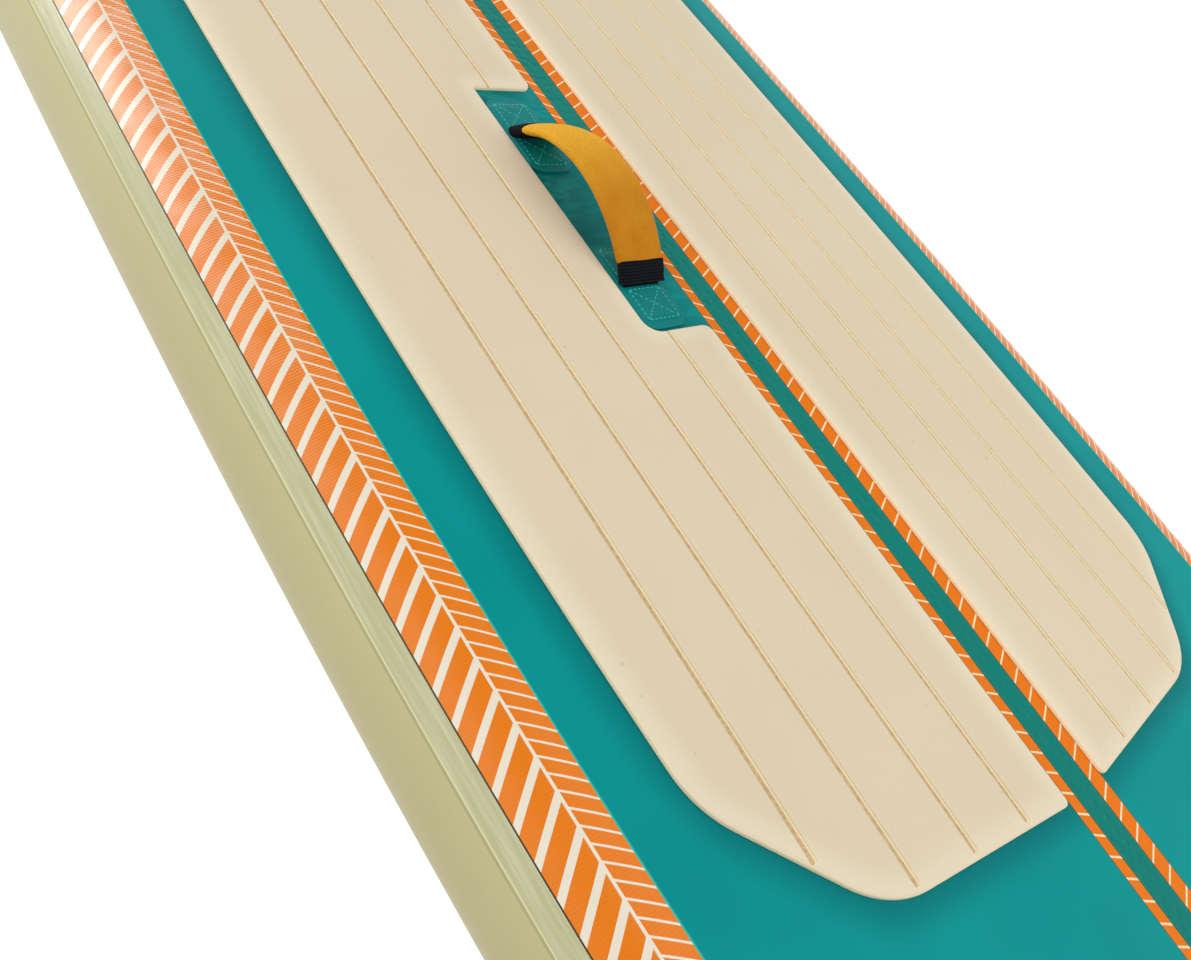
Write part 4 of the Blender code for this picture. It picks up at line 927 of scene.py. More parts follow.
def shapePad(piece, outline):
    # lowers the margin, and maps each point's depth below the face and distance from the edge
    pad = deckPad
    topZ = pad["bottomZ"] + pad["thickness"]
    chart = []
    for vertex in piece.data.vertices:
        above = vertex.co.z > pad["bottomZ"] + 0.0005
        inside = min(edgeDistance(outline, vertex.co), pad["margin"]) if above else 0
        chart.append((topZ - vertex.co.z, inside))
        if above:
            vertex.co.z -= pad["marginDrop"] * (1 - inside / pad["margin"]) ** 2
    uvs = piece.data.uv_layers.active.data
    for face in piece.data.polygons:
        routed = face.normal.z > 0.9 and face.center.z < topZ - 0.8 * pad["grooveDepth"]
        inGroove = face.normal.z < 0.9 and edgeDistance(outline, face.center) > 0.004
        for index in face.loop_indices:
            depth, inside = chart[piece.data.loops[index].vertex_index]
            uvs[index].uv = (pad["routedMark"] if routed else depth, pad["margin"] if inGroove else inside)


def dressPads():
    foam = evaFoam()
    pad = deckPad
    for side, name in ((1, "port"), (-1, "starboard")):
        outline = [(x, side * y) for x, y in roundedOutline(padCorners(side < 0))]
        sizes = pad["bottomZ"], pad["thickness"], pad["edgeRound"]
        piece = plateFromOutline("deckPad_" + name, outline, *sizes, 4)
        gridPad(piece, side)
        for index in range(pad["grooveCount"]):
            distance = pad["grooveFirst"] + index * pad["grooveSpacing"]
            setback = frontSetback(distance) + pad["grooveEnd"]
            ends = [pad["frontX"] - setback, pad["rearX"] + setback]
            if side < 0 and distance < pad["notchOuter"]:
                overrun = pad["grooveOverrun"]
                ends[1:1] = [pad["notchFrontX"] - overrun, pad["notchRearX"] + overrun]
            for frontX, rearX in zip(ends[::2], ends[1::2]):
                cutAway(piece, grooveCutter(side * distance, frontX, rearX))
        shapePad(piece, outline)
        dress(piece, foam, "board", "eva_foam", "deck_pad_" + name, smooth=35)
    print("deck pads dressed")


# carry handle: an arch of webbing in a padded sleeve, bound in black at its ends

handle = {
    "y": -0.066,
    "halfSpan": 0.0895,
    "apexHeight": 0.0455,
    "rootHeight": 0.0045,
    "sleeveWidth": 0.0515,
    "sleeveEndWidth": 0.0452,
    "sleeveShift": 0.0020,  # the middle leans outwards
    "endShift": 0.0014,  # and the ends sit a little inwards
    "sleeveThickness": 0.0112,
    "sleeveEndThickness": 0.0106,
    "pinchLength": 0.005,
    "pinchWidth": 0.0012,
    "pinchDepth": 0.0022,
    "fullness": 2.7,
    "sewnLength": {1: 0.0168, -1: 0.0185},  # from the front and the rear root to the sleeve's end
    "bindingWidth": 0.0456,
    "bindingThickness": {1: 0.0082, -1: 0.0105},
    "hemLength": 0.0075,  # the ribbed webbing shows below the smooth hem
    "ribPitch": 0.0019,
    "ribHeight": 0.0007,
    "flare": 0.0016,
    "flareLength": 0.0035,
    "patchTop": 0.1307,
    "patchLow": 0.1290,
    "patchLength": 0.092,
    "patchWidth": 0.046,
    "patchCorner": 0.012,
    "footLength": 0.070,
    "footWidth": 0.0396,
    "patchFall": 0.0030,
    "stitchLength": 0.0034,
    "stitchPitch": 0.0047,
    "stitchWidth": 0.0010,
    "rimReach": 0.005,  # the cover patch's edges have finer cells than its middle
    "rimCell": 0.0007,
    "coverCell": 0.0023,
    "coverMiddle": (0.040, 0.006, 0.0057),  # from and to, measured from the inner side, and the cells' width
    "bindingFullness": 5.0,
    "slit": (0.0024, 0.0193),  # half of the opening that the strap comes up through
    "slitZ": (0.128, 0.132),
    "boxHalf": 0.0165,
    "boxEnds": ((0.050, 0.084), (0.095, 0.127)),  # the sewn boxes, from the middle of the handle
}

archRise = handle["apexHeight"] - handle["rootHeight"]
archRadius = (handle["halfSpan"] ** 2 + archRise**2) / (2 * archRise)
archAngle = asin(handle["halfSpan"] / archRadius)
archCentreZ = deckZ + handle["apexHeight"] - archRadius
sleeveEnd = {sign: archAngle - sewn / archRadius for sign, sewn in handle["sewnLength"].items()}


def neoprene():
    # foam rubber faced with nylon jersey: matt, with a bright nap at its edges, a fine speckled knit and
    # painted light along its length
    sheen = {"Sheen_Weight": 0.30, "Sheen_Roughness": 0.35, "Sheen_Tint": "FFC23C"}
    material, add, place = newMaterial("neopreneJersey", "E0A22A", 0.85, Specular_IOR_Level=0.15, **sheen)
    cloud, speck = add("TexNoise", place, 40.0, 3.0), add("TexNoise", place, 900.0, 2.0)
    shade = add("MapRange", speck, 0.35, 0.65, 0.30, 0.0)
    tone = add("MapRange", cloud, 0.3, 0.7, 0.0, 0.15)
    fleck = add("MapRange", add("TexNoise", place, 700.0, 0.0), 0.70, 0.78, 0.0, 0.35)
    # painted light: brighter yellow toward the rear of the sleeve, deeper amber toward its front
    forward = add("MapRange.SMOOTHSTEP", add("SeparateXYZ", place), -0.07, 0.06, 0.0, 1.0)
    colour = add("Mix.RGBA", forward, "EDB024", "C07606")
    for share, tint in ((shade, "A8650C"), (tone, "F4BE48"), (fleck, "6E4408")):
        colour = add("Mix.RGBA", share, colour, tint)
    relief = add("MULTIPLY_ADD", cloud, 0.8, speck)
    bump = add("Bump", 0.3, 0.0004, Height=relief)
    return feedShader(material, Base_Color=colour, Normal=bump)


def webbing(name, ribbed):
    # woven black polyester webbing: matt, with ribs across it about 1.2 mm apart and painted highlights on
    # them
    material, add, place = newMaterial(name, "0A0C0F", 0.9, Specular_IOR_Level=0.12)
    noise = add("TexNoise", place, 400.0, 3.0)
    pitch = 1 / 0.0012 / (2 * pi)  # the wave texture counts in turns
    ribs = add("TexWave.X", add("UVMap") if ribbed else place, pitch, 0.4, 1.0, output=1)
    # painted highlights on the ribs
    colour = add("Mix.RGBA", add("MULTIPLY", ribs, noise), "030405", "20262B")
    relief = add("MULTIPLY_ADD", noise, 0.5, ribs)
    bump = add("Bump", 0.5, 0.0003, Height=relief)
    return feedShader(material, Base_Color=colour, Normal=bump)


def polyesterThread():
    # filament sewing thread: a bright, slightly glossy twist
    material, add, place = newMaterial("polyesterThread", "22A89E", 0.6, Specular_IOR_Level=0.1)
    twist = add("TexNoise", place, 1500.0, 2.0)
    colour = add("Mix.RGBA", twist, "1CA296", "55D6C8")
    bump = add("Bump", 0.3, 0.0001, Height=twist)
    return feedShader(material, Base_Color=colour, Normal=bump)


def archPiece(name, first, last, count, around, section):
    # a strap along the arch; section(angle, turn) gives the offsets across it and away from the arch's centre
    def point(i, j):
        angle = first + (last - first) * i / count
        across, height = section(angle, 2 * pi * (j % around) / around)
        reach = archRadius + height
        return Vector((reach * sin(angle), handle["y"] + across, archCentreZ + reach * cos(angle)))

    def chart(i, j):
        return archRadius * (first + (last - first) * i / count), handle["sleeveWidth"] * j / around

    return closedLoft(name, count, around, point, chart)


def roundedSection(width, thickness, fullness, turn):
    across, height = cos(turn), sin(turn)
    power = 2 / fullness
    return (width / 2 * abs(across) ** power * (1 if across > 0 else -1),
            thickness / 2 * abs(height) ** power * (1 if height > 0 else -1))


def sleeveSection(angle, turn):
    # wide in the middle, and a little pinched where the ends are bound
    share = abs(angle) / archAngle
    fromEnd = (sleeveEnd[1 if angle > 0 else -1] - abs(angle)) * archRadius
    pinch = max(0, 1 - fromEnd / handle["pinchLength"]) ** 2
    width, thickness = handle["sleeveWidth"], handle["sleeveThickness"]
    width -= (width - handle["sleeveEndWidth"]) * share**2 + handle["pinchWidth"] * pinch
    thickness -= (thickness - handle["sleeveEndThickness"]) * share**3 + handle["pinchDepth"] * pinch
    across, height = roundedSection(width, thickness, handle["fullness"], turn)
    return across - handle["sleeveShift"] * (1 - share**2) + handle["endShift"] * share**2, height


def bindingSection(angle, turn):
    # a smooth folded hem, then the strap's own ribs down to its flared foot
    along = (archAngle - abs(angle)) * archRadius
    rib = handle["ribHeight"]
    if along < handle["hemLength"]:
        rib *= 0.5 - 0.5 * cos(2 * pi * along / handle["ribPitch"])
    flare = max(0, 1 - along / handle["flareLength"]) ** 2 * handle["flare"]
    thickness = handle["bindingThickness"][1 if angle > 0 else -1] + rib + flare
    width = handle["bindingWidth"] + rib + flare
    across, height = roundedSection(width, thickness, handle["bindingFullness"], turn)
    return across + handle["endShift"], height


def coverPatch(name, x):
    # the patch glued over the webbing's foot: raised over the foot, pressed down round its edge
    y, length, width = handle["y"], handle["patchLength"], handle["patchWidth"]
    outline = [(px, py + y) for px, py in roundedBox(x, 0, length, width, handle["patchCorner"], 12)]
    patch = filledOutline(name, outline, 0)
    side, rim, fine = y + width / 2, handle["rimReach"], handle["rimCell"]
    acrossCuts = evenCuts(side - rim, side, fine) + evenCuts(side - width, side - width + rim, fine)
    first, last, cell = handle["coverMiddle"]
    acrossCuts += evenCuts(side - first, side - last, cell)
    gridCuts(patch, evenCuts(x - length / 2, x + length / 2, handle["coverCell"]), acrossCuts)
    for vertex in patch.data.vertices:
        pastEnd = abs(vertex.co.x - x) - handle["footLength"] / 2
        pastSide = abs(vertex.co.y - y) - handle["footWidth"] / 2
        share = min(max(pastEnd, pastSide, 0) / handle["patchFall"], 1)
        vertex.co.z = handle["patchTop"] - (handle["patchTop"] - handle["patchLow"]) * easeInOut(share)
    applyModifier(patch, "SOLIDIFY", thickness=hull["layer"], offset=-1)
    (halfX, halfY), (low, high) = handle["slit"], handle["slitZ"]
    cutAway(patch, boxBlock("slit", (x - halfX, y - halfY, low), (x + halfX, y + halfY, high)))
    return patch


def stitchLine(start, end):
    # the places and the turn of the stitches on a seam from start to end
    run = Vector(end) - Vector(start)
    count = max(2, round(run.length / handle["stitchPitch"]))
    turn = Vector((1, 0)).angle_signed(run)
    return [(Vector(start) + run * (step + 0.5) / count, -turn) for step in range(count)]


def boxStitches(name, boxes, z):
    # sewn boxes with a cross in each, made of one stitch copied along the seams
    first = newPiece("stitch", bpy.ops.mesh.primitive_uv_sphere_add, segments=10, ring_count=6, radius=0.5)
    size = Matrix.Diagonal((handle["stitchLength"], handle["stitchWidth"], handle["stitchWidth"] * 0.55, 1))
    stitches = []
    for x0, x1, y0, y1 in boxes:
        a, b, c, d = (x0, y0), (x1, y0), (x1, y1), (x0, y1)
        for start, end in ((a, b), (b, c), (c, d), (d, a), (a, c), (b, d)):
            for spot, turn in stitchLine(start, end):
                mesh = first.data.copy()
                mesh.transform(Matrix.Translation((*spot, z)) @ Matrix.Rotation(turn, 4, "Z") @ size)
                stitches.append(linkedObject(name, mesh))
    bpy.data.objects.remove(first, do_unlink=True)
    return joinPieces(name, stitches)


def dressHandle():
    sleeve = archPiece("sleeve", -sleeveEnd[-1], sleeveEnd[1], 96, 48, sleeveSection)
    dress(sleeve, neoprene(), "handle", "neoprene", "handle_sleeve", smooth=60)
    binding, thread = webbing("bindingTape", True), polyesterThread()
    patchLook = coatedFabric("tealCoatedPatch", "0A8785", "057573", 0.42, 0.1)
    y, boxHalf = handle["y"], handle["boxHalf"]
    for end, sign in (("front", 1), ("rear", -1)):
        x = sign * handle["halfSpan"]
        top = sleeveEnd[sign] - 0.0006 / archRadius
        piece = archPiece("binding_" + end, sign * archAngle, sign * top, 96, 40, bindingSection)
        for vertex in piece.data.vertices:
            vertex.co.z = max(vertex.co.z, handle["patchTop"] + 0.0002)
        piece.data.materials.clear()
        piece.data.materials.append(binding)
        shadeSmooth(piece, 50)
        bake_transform(piece)
        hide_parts("handle_binding_" + end, "handle_webbing_root_" + end)
        patch = coverPatch("coverPatch_" + end, x)
        dress(patch, patchLook, "board", "teal_pvc", "handle_cover_patch_" + end, smooth=35)
        boxes = [(sign * near, sign * far, y - boxHalf, y + boxHalf) for near, far in handle["boxEnds"]]
        stitches = boxStitches("boxStitches_" + end, boxes, handle["patchTop"] + 0.0001)
        dress(stitches, thread, "board", "polyester_yarn")
        wear("handle_base_patch_" + end, patchLook)
    print("handle dressed")


# inflation valve

valve = {
    "x": -1.205,
    "flangeTop": 0.0028,
    "barrelRadius": 0.022,
    "boreRadius": 0.0175,
    "capRadius": 0.027,
    "capThickness": 0.0030,
    "play": 0.0003,
    "dishRadius": 0.0150,
    "dishDepth": 0.0006,
    "lipRadius": 0.0172,
    "rimRound": 0.0012,
    "rimGroove": 0.0011,
    "rimGrooveSpot": (0.0006, 0.0015),  # beyond the rim and above its foot
    "rimGrooveLength": 0.006,
    "skirtFoot": 0.0053,
    "skirtWall": 0.0020,
    "gripHeight": 0.0055,
    "gripLength": 0.048,
    "gripWidth": 0.0060,
    "gripSink": 0.0015,
    "gripRound": 0.0022,
    "edgeRound": 0.0004,
    "ribs": 36,
    "springRadius": 0.0036,
    "springWire": 0.0004,
    "springTurns": 4,
    "stemTravel": 0.005,
}


def mouldedNylon(name, light, dark, roughness):
    # injection-moulded nylon: near-black, satin, with the fine spark-eroded grain of its mould
    material, add, place = newMaterial(name, light, roughness)
    cloud, grain = add("TexNoise", place, 60.0, 3.0), add("TexNoise", place, 1400.0, 2.0)
    colour = add("Mix.RGBA", cloud, dark, light)
    shine = add("MapRange", cloud, 0.3, 0.7, roughness - 0.05, roughness + 0.07)
    bump = add("Bump", 0.15, 0.0002, Height=grain)
    return feedShader(material, Base_Color=colour, Normal=bump, Roughness=shine)


def sealRubber():
    # moulded rubber: dark grey and matt, faintly dusty
    material, add, place = newMaterial("sealRubber", "26272A", 0.75)
    dust = add("TexNoise", place, 130.0, 4.0)
    colour = add("Mix.RGBA", dust, "1B1C1E", "35363A")
    bump = add("Bump", 0.1, 0.0002, Height=dust)
    return feedShader(material, Base_Color=colour, Normal=bump)


def stainlessSteel():
    # drawn and tumbled stainless steel: bright, with fine scratches that blur its reflections
    material, add, place = newMaterial("stainlessSteel", "C9CACC", 0.22, Metallic=1.0)
    scratch = add("TexNoise", place, 300.0, 6.0, 0.7)
    colour = add("Mix.RGBA", scratch, "B9BABD", "D6D7D9")
    shine = add("MapRange", scratch, 0.3, 0.7, 0.16, 0.34)
    bump = add("Bump", 0.08, 0.0001, Height=scratch)
    return feedShader(material, Base_Color=colour, Normal=bump, Roughness=shine)


def turnedPiece(name, profile, x, z, steps=96):
    # a solid of revolution about a vertical line; the profile's (radius, height) points form a closed loop
    def point(i, j):
        radius, height = profile[j % len(profile)]
        turn = 2 * pi * (i % steps) / steps
        return Vector((x + radius * cos(turn), radius * sin(turn), z + height))

    piece = loftGrid(name, steps, len(profile), point)
    editAll(piece, merge(finest), faceOut)
    return piece


def valveCoil():
    # the return spring, a round wire wound four times
    low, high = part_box("valve_spring")
    wire, perTurn, around = valve["springWire"], 24, 10
    steps = perTurn * valve["springTurns"]

    def coilPoint(i, j):
        turn, side = 2 * pi * i / perTurn, 2 * pi * (j % around) / around
        reach = valve["springRadius"] + wire * cos(side)
        rise = low[2] + wire + (high[2] - low[2] - 2 * wire) * i / steps
        return Vector((valve["x"] + reach * cos(turn), reach * sin(turn), rise + wire * sin(side)))

    return closedLoft("valveCoil", steps, around, coilPoint)


def capProfile(top, face):
    # half of the cap's section: dished face, rounded rim, then the skirt that fits the bore
    rim, skirt, foot = valve["capRadius"], valve["boreRadius"] - valve["play"], valve["skirtFoot"]
    dish, lip, curve = valve["dishRadius"], valve["lipRadius"], valve["rimRound"]
    floorZ, wall = face - valve["dishDepth"], valve["skirtWall"]
    outside = [(0.0, floorZ), (dish, floorZ), (lip, face), (rim - curve, face), (rim, face - curve)]
    under = [(rim, top + 0.0002), (rim - 0.0002, top), (skirt, top), (skirt, top - foot)]
    return outside + under + [(skirt - wall, top - foot), (skirt - wall, top), (0.0, top)]


def dressValve(nylon, steel):
    housing = looseCopy("valveHousing", "valve_housing")
    bevelSharp(housing, valve["edgeRound"])
    dress(housing, nylon, "board", "black_nylon", "valve_housing")
    x, rim = valve["x"], valve["capRadius"]
    top = valve["flangeTop"] + valve["play"]
    face = top + valve["capThickness"]
    cap = turnedPiece("valveCap", capProfile(top, face), x, deckZ)
    halfLength, halfWidth = valve["gripLength"] / 2, valve["gripWidth"] / 2
    grip = boxBlock("grip", (x - halfLength, -halfWidth, deckZ + face - valve["gripSink"]),
                    (x + halfLength, halfWidth, deckZ + face + valve["gripHeight"]))
    bevelSharp(grip, valve["gripRound"], 5)
    cutAway(cap, grip, "UNION")
    beyond, above = valve["rimGrooveSpot"]
    for step in range(valve["ribs"]):
        turn, reach = 2 * pi * step / valve["ribs"], rim + beyond
        place = (x + reach * cos(turn), reach * sin(turn), deckZ + top + above)
        cutAway(cap, roundPost("rimGroove", place, valve["rimGroove"], valve["rimGrooveLength"], 12))
    dress(cap, nylon, "valve_lid", "black_nylon", "valve_cap", smooth=35)
    coil = valveCoil()
    dress(coil, steel, "board", "stainless_steel", "valve_spring", smooth=60)
    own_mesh(coil)
    print("valve dressed")


# fins

fins = {
    "centreX": -1.200,
    "centreRootZ": -0.0200,
    "centreSize": (0.200, 0.140, 0.100, 0.0085),  # depth, chord, sweep and thickness
    "tab": ((-1.2550, -0.0046, -0.0235), (-1.1300, 0.0046, -0.0075)),
    "tongue": ((-1.1425, -0.0046, -0.0159), (-1.1050, 0.0046, -0.0114)),
    "pin": (-1.245, 0, -0.0096),
    "screw": (-1.1175, 0, -0.0136),
    "sideX": -1.120,
    "sideY": 0.190,
    "sideRootZ": -0.0016,
    "sideSize": (0.105, 0.095, 0.045, 0.006),
    "tipShare": 0.985,  # the blades end a little short of a point
    "tipFullness": 2.4,
    "taper": 0.25,
    "rake": 1.5,
    "fillet": (0.8, 0.035),  # how much thicker the blade is at its base, and over what share of its depth
    "foil": (2.47, 0.12),  # a round leading edge, and the thickness left at the rear one
    "pinHole": 0.0018,
    "screwHole": 0.0022,
    "bladeRound": 0.0004,
    "boxRound": 0.0006,
    "baseLength": 0.150,
    "baseWidth": 0.050,
    "baseZ": -0.0028,
    "baseThickness": 0.0025,
    "baseRound": 0.0016,
    "boxX": -1.180,
    "patchLength": 0.334,
    "patchWidth": 0.108,
    "patchCorner": 0.012,
    "patchZ": -0.0011,
    "patchRound": 0.0004,
}


def finBlade(name, x, y, rootZ, size):
    # a raked foil with a round leading edge, widened a little where it meets its base
    depth, chord, sweep, thickness = size
    gain, filletShare = fins["fillet"]
    front, rear = fins["foil"]
    levels, around = 44, 56

    def point(i, j):
        share = fins["tipShare"] * sin(pi / 2 * i / levels) if i < levels else fins["tipShare"]
        here = chord * sqrt(1 - share ** fins["tipFullness"]) * (1 - fins["taper"] * share)
        middle = x - sweep * share ** fins["rake"]
        fillet = 1 + gain * max(0, 1 - share / filletShare) ** 2
        thick = thickness * (here / chord) ** 0.7 * fillet
        turn = 2 * pi * (j % around) / around
        along = (1 - cos(turn)) / 2
        fat = front * sqrt(along) * (1 - along) + rear * sqrt(along)
        side = 1 if turn <= pi else -1
        return Vector((middle + here / 2 - along * here, y + side * fat * thick / 2, rootZ - depth * share))

    return closedLoft(name, levels, around, point)


def dressFins(nylon, steel):
    plastic = mouldedNylon("mouldedFinPlastic", "15161A", "0C0D0F", 0.32)
    blade = finBlade("centreFin", fins["centreX"], 0, fins["centreRootZ"], fins["centreSize"])
    for part in ("tab", "tongue"):
        cutAway(blade, boxBlock(part, *fins[part]), "UNION")
    cutAway(blade, roundPost("pinHole", fins["pin"], fins["pinHole"], 0.03, 24, (pi / 2, 0, 0)))
    cutAway(blade, roundPost("screwHole", fins["screw"], fins["screwHole"], 0.012, 24))
    bevelSharp(blade, fins["bladeRound"], 2, 50)
    dress(blade, plastic, "fin", "fin_plastic", "centre_fin", smooth=35)
    x, length, width = fins["sideX"], fins["baseLength"], fins["baseWidth"]
    for name, side in (("port", 1), ("starboard", -1)):
        y = side * fins["sideY"]
        outline = roundedBox(x, y, length, width, width / 2 * 0.8, 14)
        sizes = fins["baseZ"], fins["baseThickness"], fins["baseRound"]
        base = plateFromOutline("sideFin_" + name, outline, *sizes, 4, upper=False)
        cutAway(base, finBlade("foil", x, y, fins["sideRootZ"], fins["sideSize"]), "UNION")
        dress(base, plastic, "board", "fin_plastic", "side_fin_" + name, smooth=35)
    box = looseCopy("finBox", "fin_box")
    bevelSharp(box, fins["boxRound"])
    dress(box, nylon, "board", "black_nylon", "fin_box")
    outline = roundedBox(fins["boxX"], 0, fins["patchLength"], fins["patchWidth"], fins["patchCorner"], 8)
    sizes = fins["patchZ"], hull["layer"], fins["patchRound"]
    patch = plateFromOutline("finBoxPatch", outline, *sizes, 2, upper=False)
    dress(patch, coatedFabric("creamCoatedPatch", "D8D1B9", "CDC5A9"), "board", "cream_pvc", "fin_box_patch")
    for node in ("fin_cross_pin", "fin_nut_plate", "fin_screw"):
        wear(node, steel)
    print("fins dressed")


# rings for the cargo cord and the leash

ringSet = {
    "wire": 0.0020,
    "barHalf": 0.013,
    "side": 0.006,
    "corner": 0.0015,
    "patchRadius": 0.036,
    "patchThickness": 0.0010,
    "patchLevel": 0.72,  # share of the radius that is flat under the loop
    "patchEdge": (0.97, 0.0004),  # where the edge thins, and by how much
    "patchClear": 0.0001,
    "gap": 0.0003,
    "loopWidth": 0.020,
    "loopLayer": 0.0012,
    "loopFoot": 0.024,
    "setBack": 0.004,
}

cargoRings = {  # middle of the port ring's bar, and the bar's direction
    "front": ((1.07826, 0.17502, 0.16439), (0.9861, 0.16613)),
    "rear": ((0.84116, 0.2161, 0.1373), (0.99803, 0.06275)),
}
rings = []  # node, body, middle of the bar, the bar's direction
for end, ((x, y, z), (dx, dz)) in cargoRings.items():
    for side, sign in (("_port", 1), ("_starboard", -1)):
        bar, direction = (x, sign * y, z), (sign * dx, 0, sign * dz)
        rings.append(("cargo_ring_" + end + side, "ring_" + end + side, bar, direction))
rings.append(("leash_ring", "ring_leash", (-1.35247, 0, 0.1319), (0, 1, 0)))

barHeight = 2 * ringSet["gap"] + ringSet["loopLayer"] + ringSet["wire"]


def ringFrame(bar, direction):
    # the bar along local X, the deck's normal as local Z
    across = Vector(direction).normalized()
    away = (across.cross(Vector((0, 0, 1))) * -1).normalized()
    turn = Matrix((across, away, across.cross(away))).transposed()
    return Matrix.Translation(bar) @ turn.to_4x4()


def tubeAlong(name, path, radius, around=18):
    # a round wire along a closed flat path
    count = len(path)

    def point(i, j):
        here, ahead, behind = path[i % count], path[(i + 1) % count], path[i % count - 1]
        forward = (Vector(ahead) - Vector(behind)).normalized()
        outward = Vector((forward.y, -forward.x, 0))
        turn = 2 * pi * (j % around) / around
        return Vector(here) + outward * radius * cos(turn) + Vector((0, 0, radius * sin(turn)))

    piece = loftGrid(name, count, around, point)
    editAll(piece, merge(finest), faceOut)
    return piece


def ringPath():
    # a D: a straight bar with rounded corners, then the bow
    half, side, corner = ringSet["barHalf"], ringSet["side"], ringSet["corner"]
    turns = [pi / 2 * step / 6 for step in range(7)]
    bend = [(corner * sin(turn), corner - corner * cos(turn)) for turn in turns]
    rise = [(side - corner) * step / 4 for step in range(1, 4)]
    path = [(-half + corner + (2 * half - 2 * corner) * step / 12, 0, 0) for step in range(13)]
    path += [(half - corner + x, y, 0) for x, y in bend[1:]]
    path += [(half, corner + y, 0) for y in rise]
    path += [(half * cos(pi * step / 36), side + half * sin(pi * step / 36), 0) for step in range(37)]
    path += [(-half, side - y, 0) for y in rise]
    path += [(-half + y, corner - x, 0) for x, y in bend[:6]]
    return path


def loopOutline():
    # the folded webbing seen from its edge: a foot of two layers and an eye round the bar
    radius = ringSet["wire"] + ringSet["gap"] + ringSet["loopLayer"]
    footTop = ringSet["gap"] + 2 * ringSet["loopLayer"]
    meet = asin((footTop - barHeight) / radius)
    steps = 28
    outline = [(-ringSet["loopFoot"], ringSet["gap"])]
    for step in range(steps + 1):
        angle = -pi / 2 + (pi - meet + pi / 2) * step / steps
        outline.append((radius * cos(angle), barHeight + radius * sin(angle)))
    outline.append((-ringSet["loopFoot"], footTop))
    return outline


def ringLoop(name, place):
    # the loop, extruded across and pierced for the bar
    width = ringSet["loopWidth"]
    loop = filledOutline(name, loopOutline(), 0)
    extrudeUp(loop, width)
    cutAway(loop, roundPost("eye", (0, barHeight, width / 2), ringSet["wire"] + ringSet["gap"], 0.05, 32))
    bevelSharp(loop, 0.0003, 2, 50)
    standUp = Matrix(((0, 0, 1, -width / 2), (1, 0, 0, 0), (0, 1, 0, -barHeight), (0, 0, 0, 1)))
    loop.data.transform(place @ standUp)
    editAll(loop, merge(finest / 2), faceOut)
    return loop


def ringPatch(name, place):
    # a round glued patch: it lies on the smooth deck and rises to the foot of the loop
    radius, rounds, around = ringSet["patchRadius"], 16, 72
    centre = place @ Vector((0, ringSet["setBack"], 0))
    base = place @ Vector((0, 0, -barHeight))
    normal = place.to_3x3() @ Vector((0, 0, 1))
    level, (edgeShare, thinning) = ringSet["patchLevel"], ringSet["patchEdge"]

    def point(i, j, top):
        share = i / rounds
        turn = 2 * pi * (j % around) / around
        x, y = centre.x + radius * share * cos(turn), centre.y + radius * share * sin(turn)
        deck = deckZ + liftAt(x)
        if not top:
            return Vector((x, y, deck + ringSet["patchClear"]))
        plane = base.z - (normal.x * (x - base.x) + normal.y * (y - base.y)) / normal.z
        fall = clamp((share - level) / (1 - level))
        edge = max(0, (share - edgeShare) / (1 - edgeShare))
        low = deck + ringSet["patchThickness"] - thinning * edge
        return Vector((x, y, plane * (1 - fall * fall) + low * fall * fall))

    upper = loftGrid(name, rounds, around, lambda i, j: point(i, j, True))
    lower = loftGrid(name + "Under", rounds, around, lambda i, j: point(i, j, False))
    patch = joinPieces(name, [upper, lower])
    editAll(patch, merge(finest))

    # closes the rim between the two faces
    bpy.ops.object.mode_set(mode="EDIT")
    bpy.ops.mesh.select_mode(type="EDGE")
    bpy.ops.mesh.select_all(action="DESELECT")
    openEdges = {"use_wire": False, "use_multi_face": False, "use_non_contiguous": False, "use_verts": False}
    bpy.ops.mesh.select_non_manifold(extend=False, **openEdges)
    bpy.ops.mesh.bridge_edge_loops()
    bpy.ops.mesh.select_mode(type="VERT")
    editAll(patch, faceOut)
    return patch


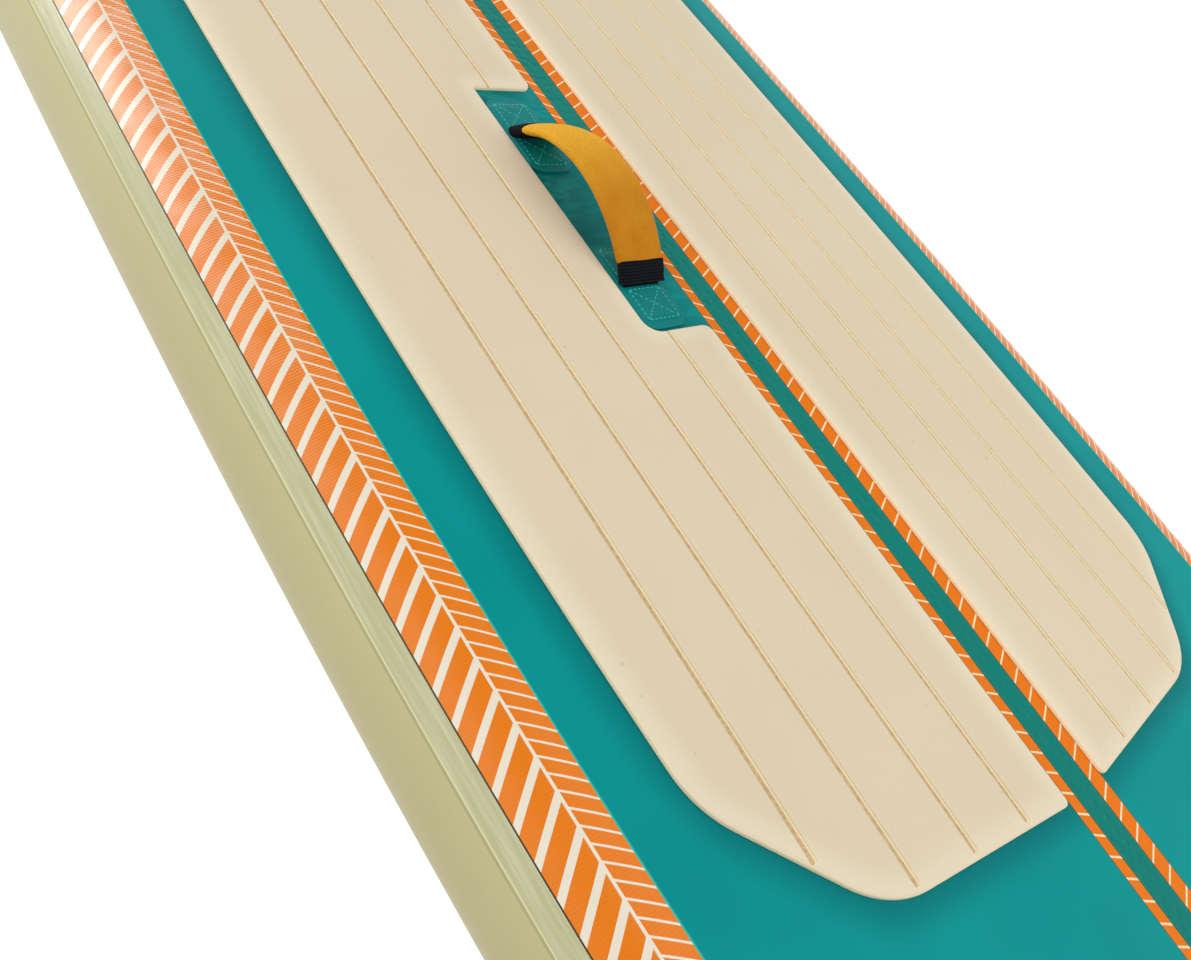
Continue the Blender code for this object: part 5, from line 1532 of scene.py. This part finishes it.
def dressRings(steel, web):
    patchLook = coatedFabric("ringPatchPvc", "E2DAC2", "D0C7AC", 0.42)
    droop = asin((barHeight - ringSet["wire"] - ringSet["gap"]) / (ringSet["side"] + ringSet["barHalf"]))
    for node, body, bar, direction in rings:
        name, place = node.replace("_", ""), ringFrame(bar, direction)
        ring = tubeAlong(name + "Wire", ringPath(), ringSet["wire"])
        ring.data.transform(place @ Matrix.Rotation(-droop, 4, "X"))
        dress(ring, steel, body, "stainless_steel", node, smooth=60)
        dress(ringLoop(name + "Loop", place), web, "board", "black_webbing", node + "_loop", smooth=35)
        dress(ringPatch(name + "Patch", place), patchLook, "board", "cream_pvc", node + "_patch", smooth=35)
    print("rings dressed")


# layers inside the board


def wovenSkin():
    # drop-stitch fabric seen from inside: dull off-white cloth in a plain weave
    material, add, place = newMaterial("wovenSkin", "D8D5C8", 0.85)
    weave = add("TexVoronoi", place, 600.0, Randomness=0.1)
    colour = add("Mix.RGBA", weave, "C9C5B5", "E2E0D6")
    bump = add("Bump", 0.3, 0.0003, Height=weave)
    return feedShader(material, Base_Color=colour, Normal=bump)


def dressInside(nylon, web):
    looks = (
        (wovenSkin(), ("deck_skin", "hull_skin")),
        (coatedFabric("innerTape", "C4BD94", "B5AD82"), ("inner_rail_port", "inner_rail_starboard")),
        (coatedFabric("polyesterYarn", "ECEAE2", "D5D2C6", 0.7), ("drop_stitch_yarns",)),
        (web, ("handle_webbing", "handle_webbing_foot_front", "handle_webbing_foot_rear")),
        (nylon, ("valve_back_nut", "valve_stem")),
        (sealRubber(), ("valve_seal",)),
    )
    for look, names in looks:
        for node in names:
            wear(node, look)
    print("inner layers dressed")


bpy.context.scene.view_settings.view_transform = "Standard"
makeCamera()
makeStudio()
blackNylon = mouldedNylon("mouldedNylon", "1A1B1E", "101113", 0.42)
steelLook = stainlessSteel()
blackWeb = webbing("blackWebbing", False)
dressHull()
dressPads()
dressHandle()
dressValve(blackNylon, steelLook)
dressFins(blackNylon, steelLook)
dressRings(steelLook, blackWeb)
dressInside(blackNylon, blackWeb)

bpy.context.view_layer.update()
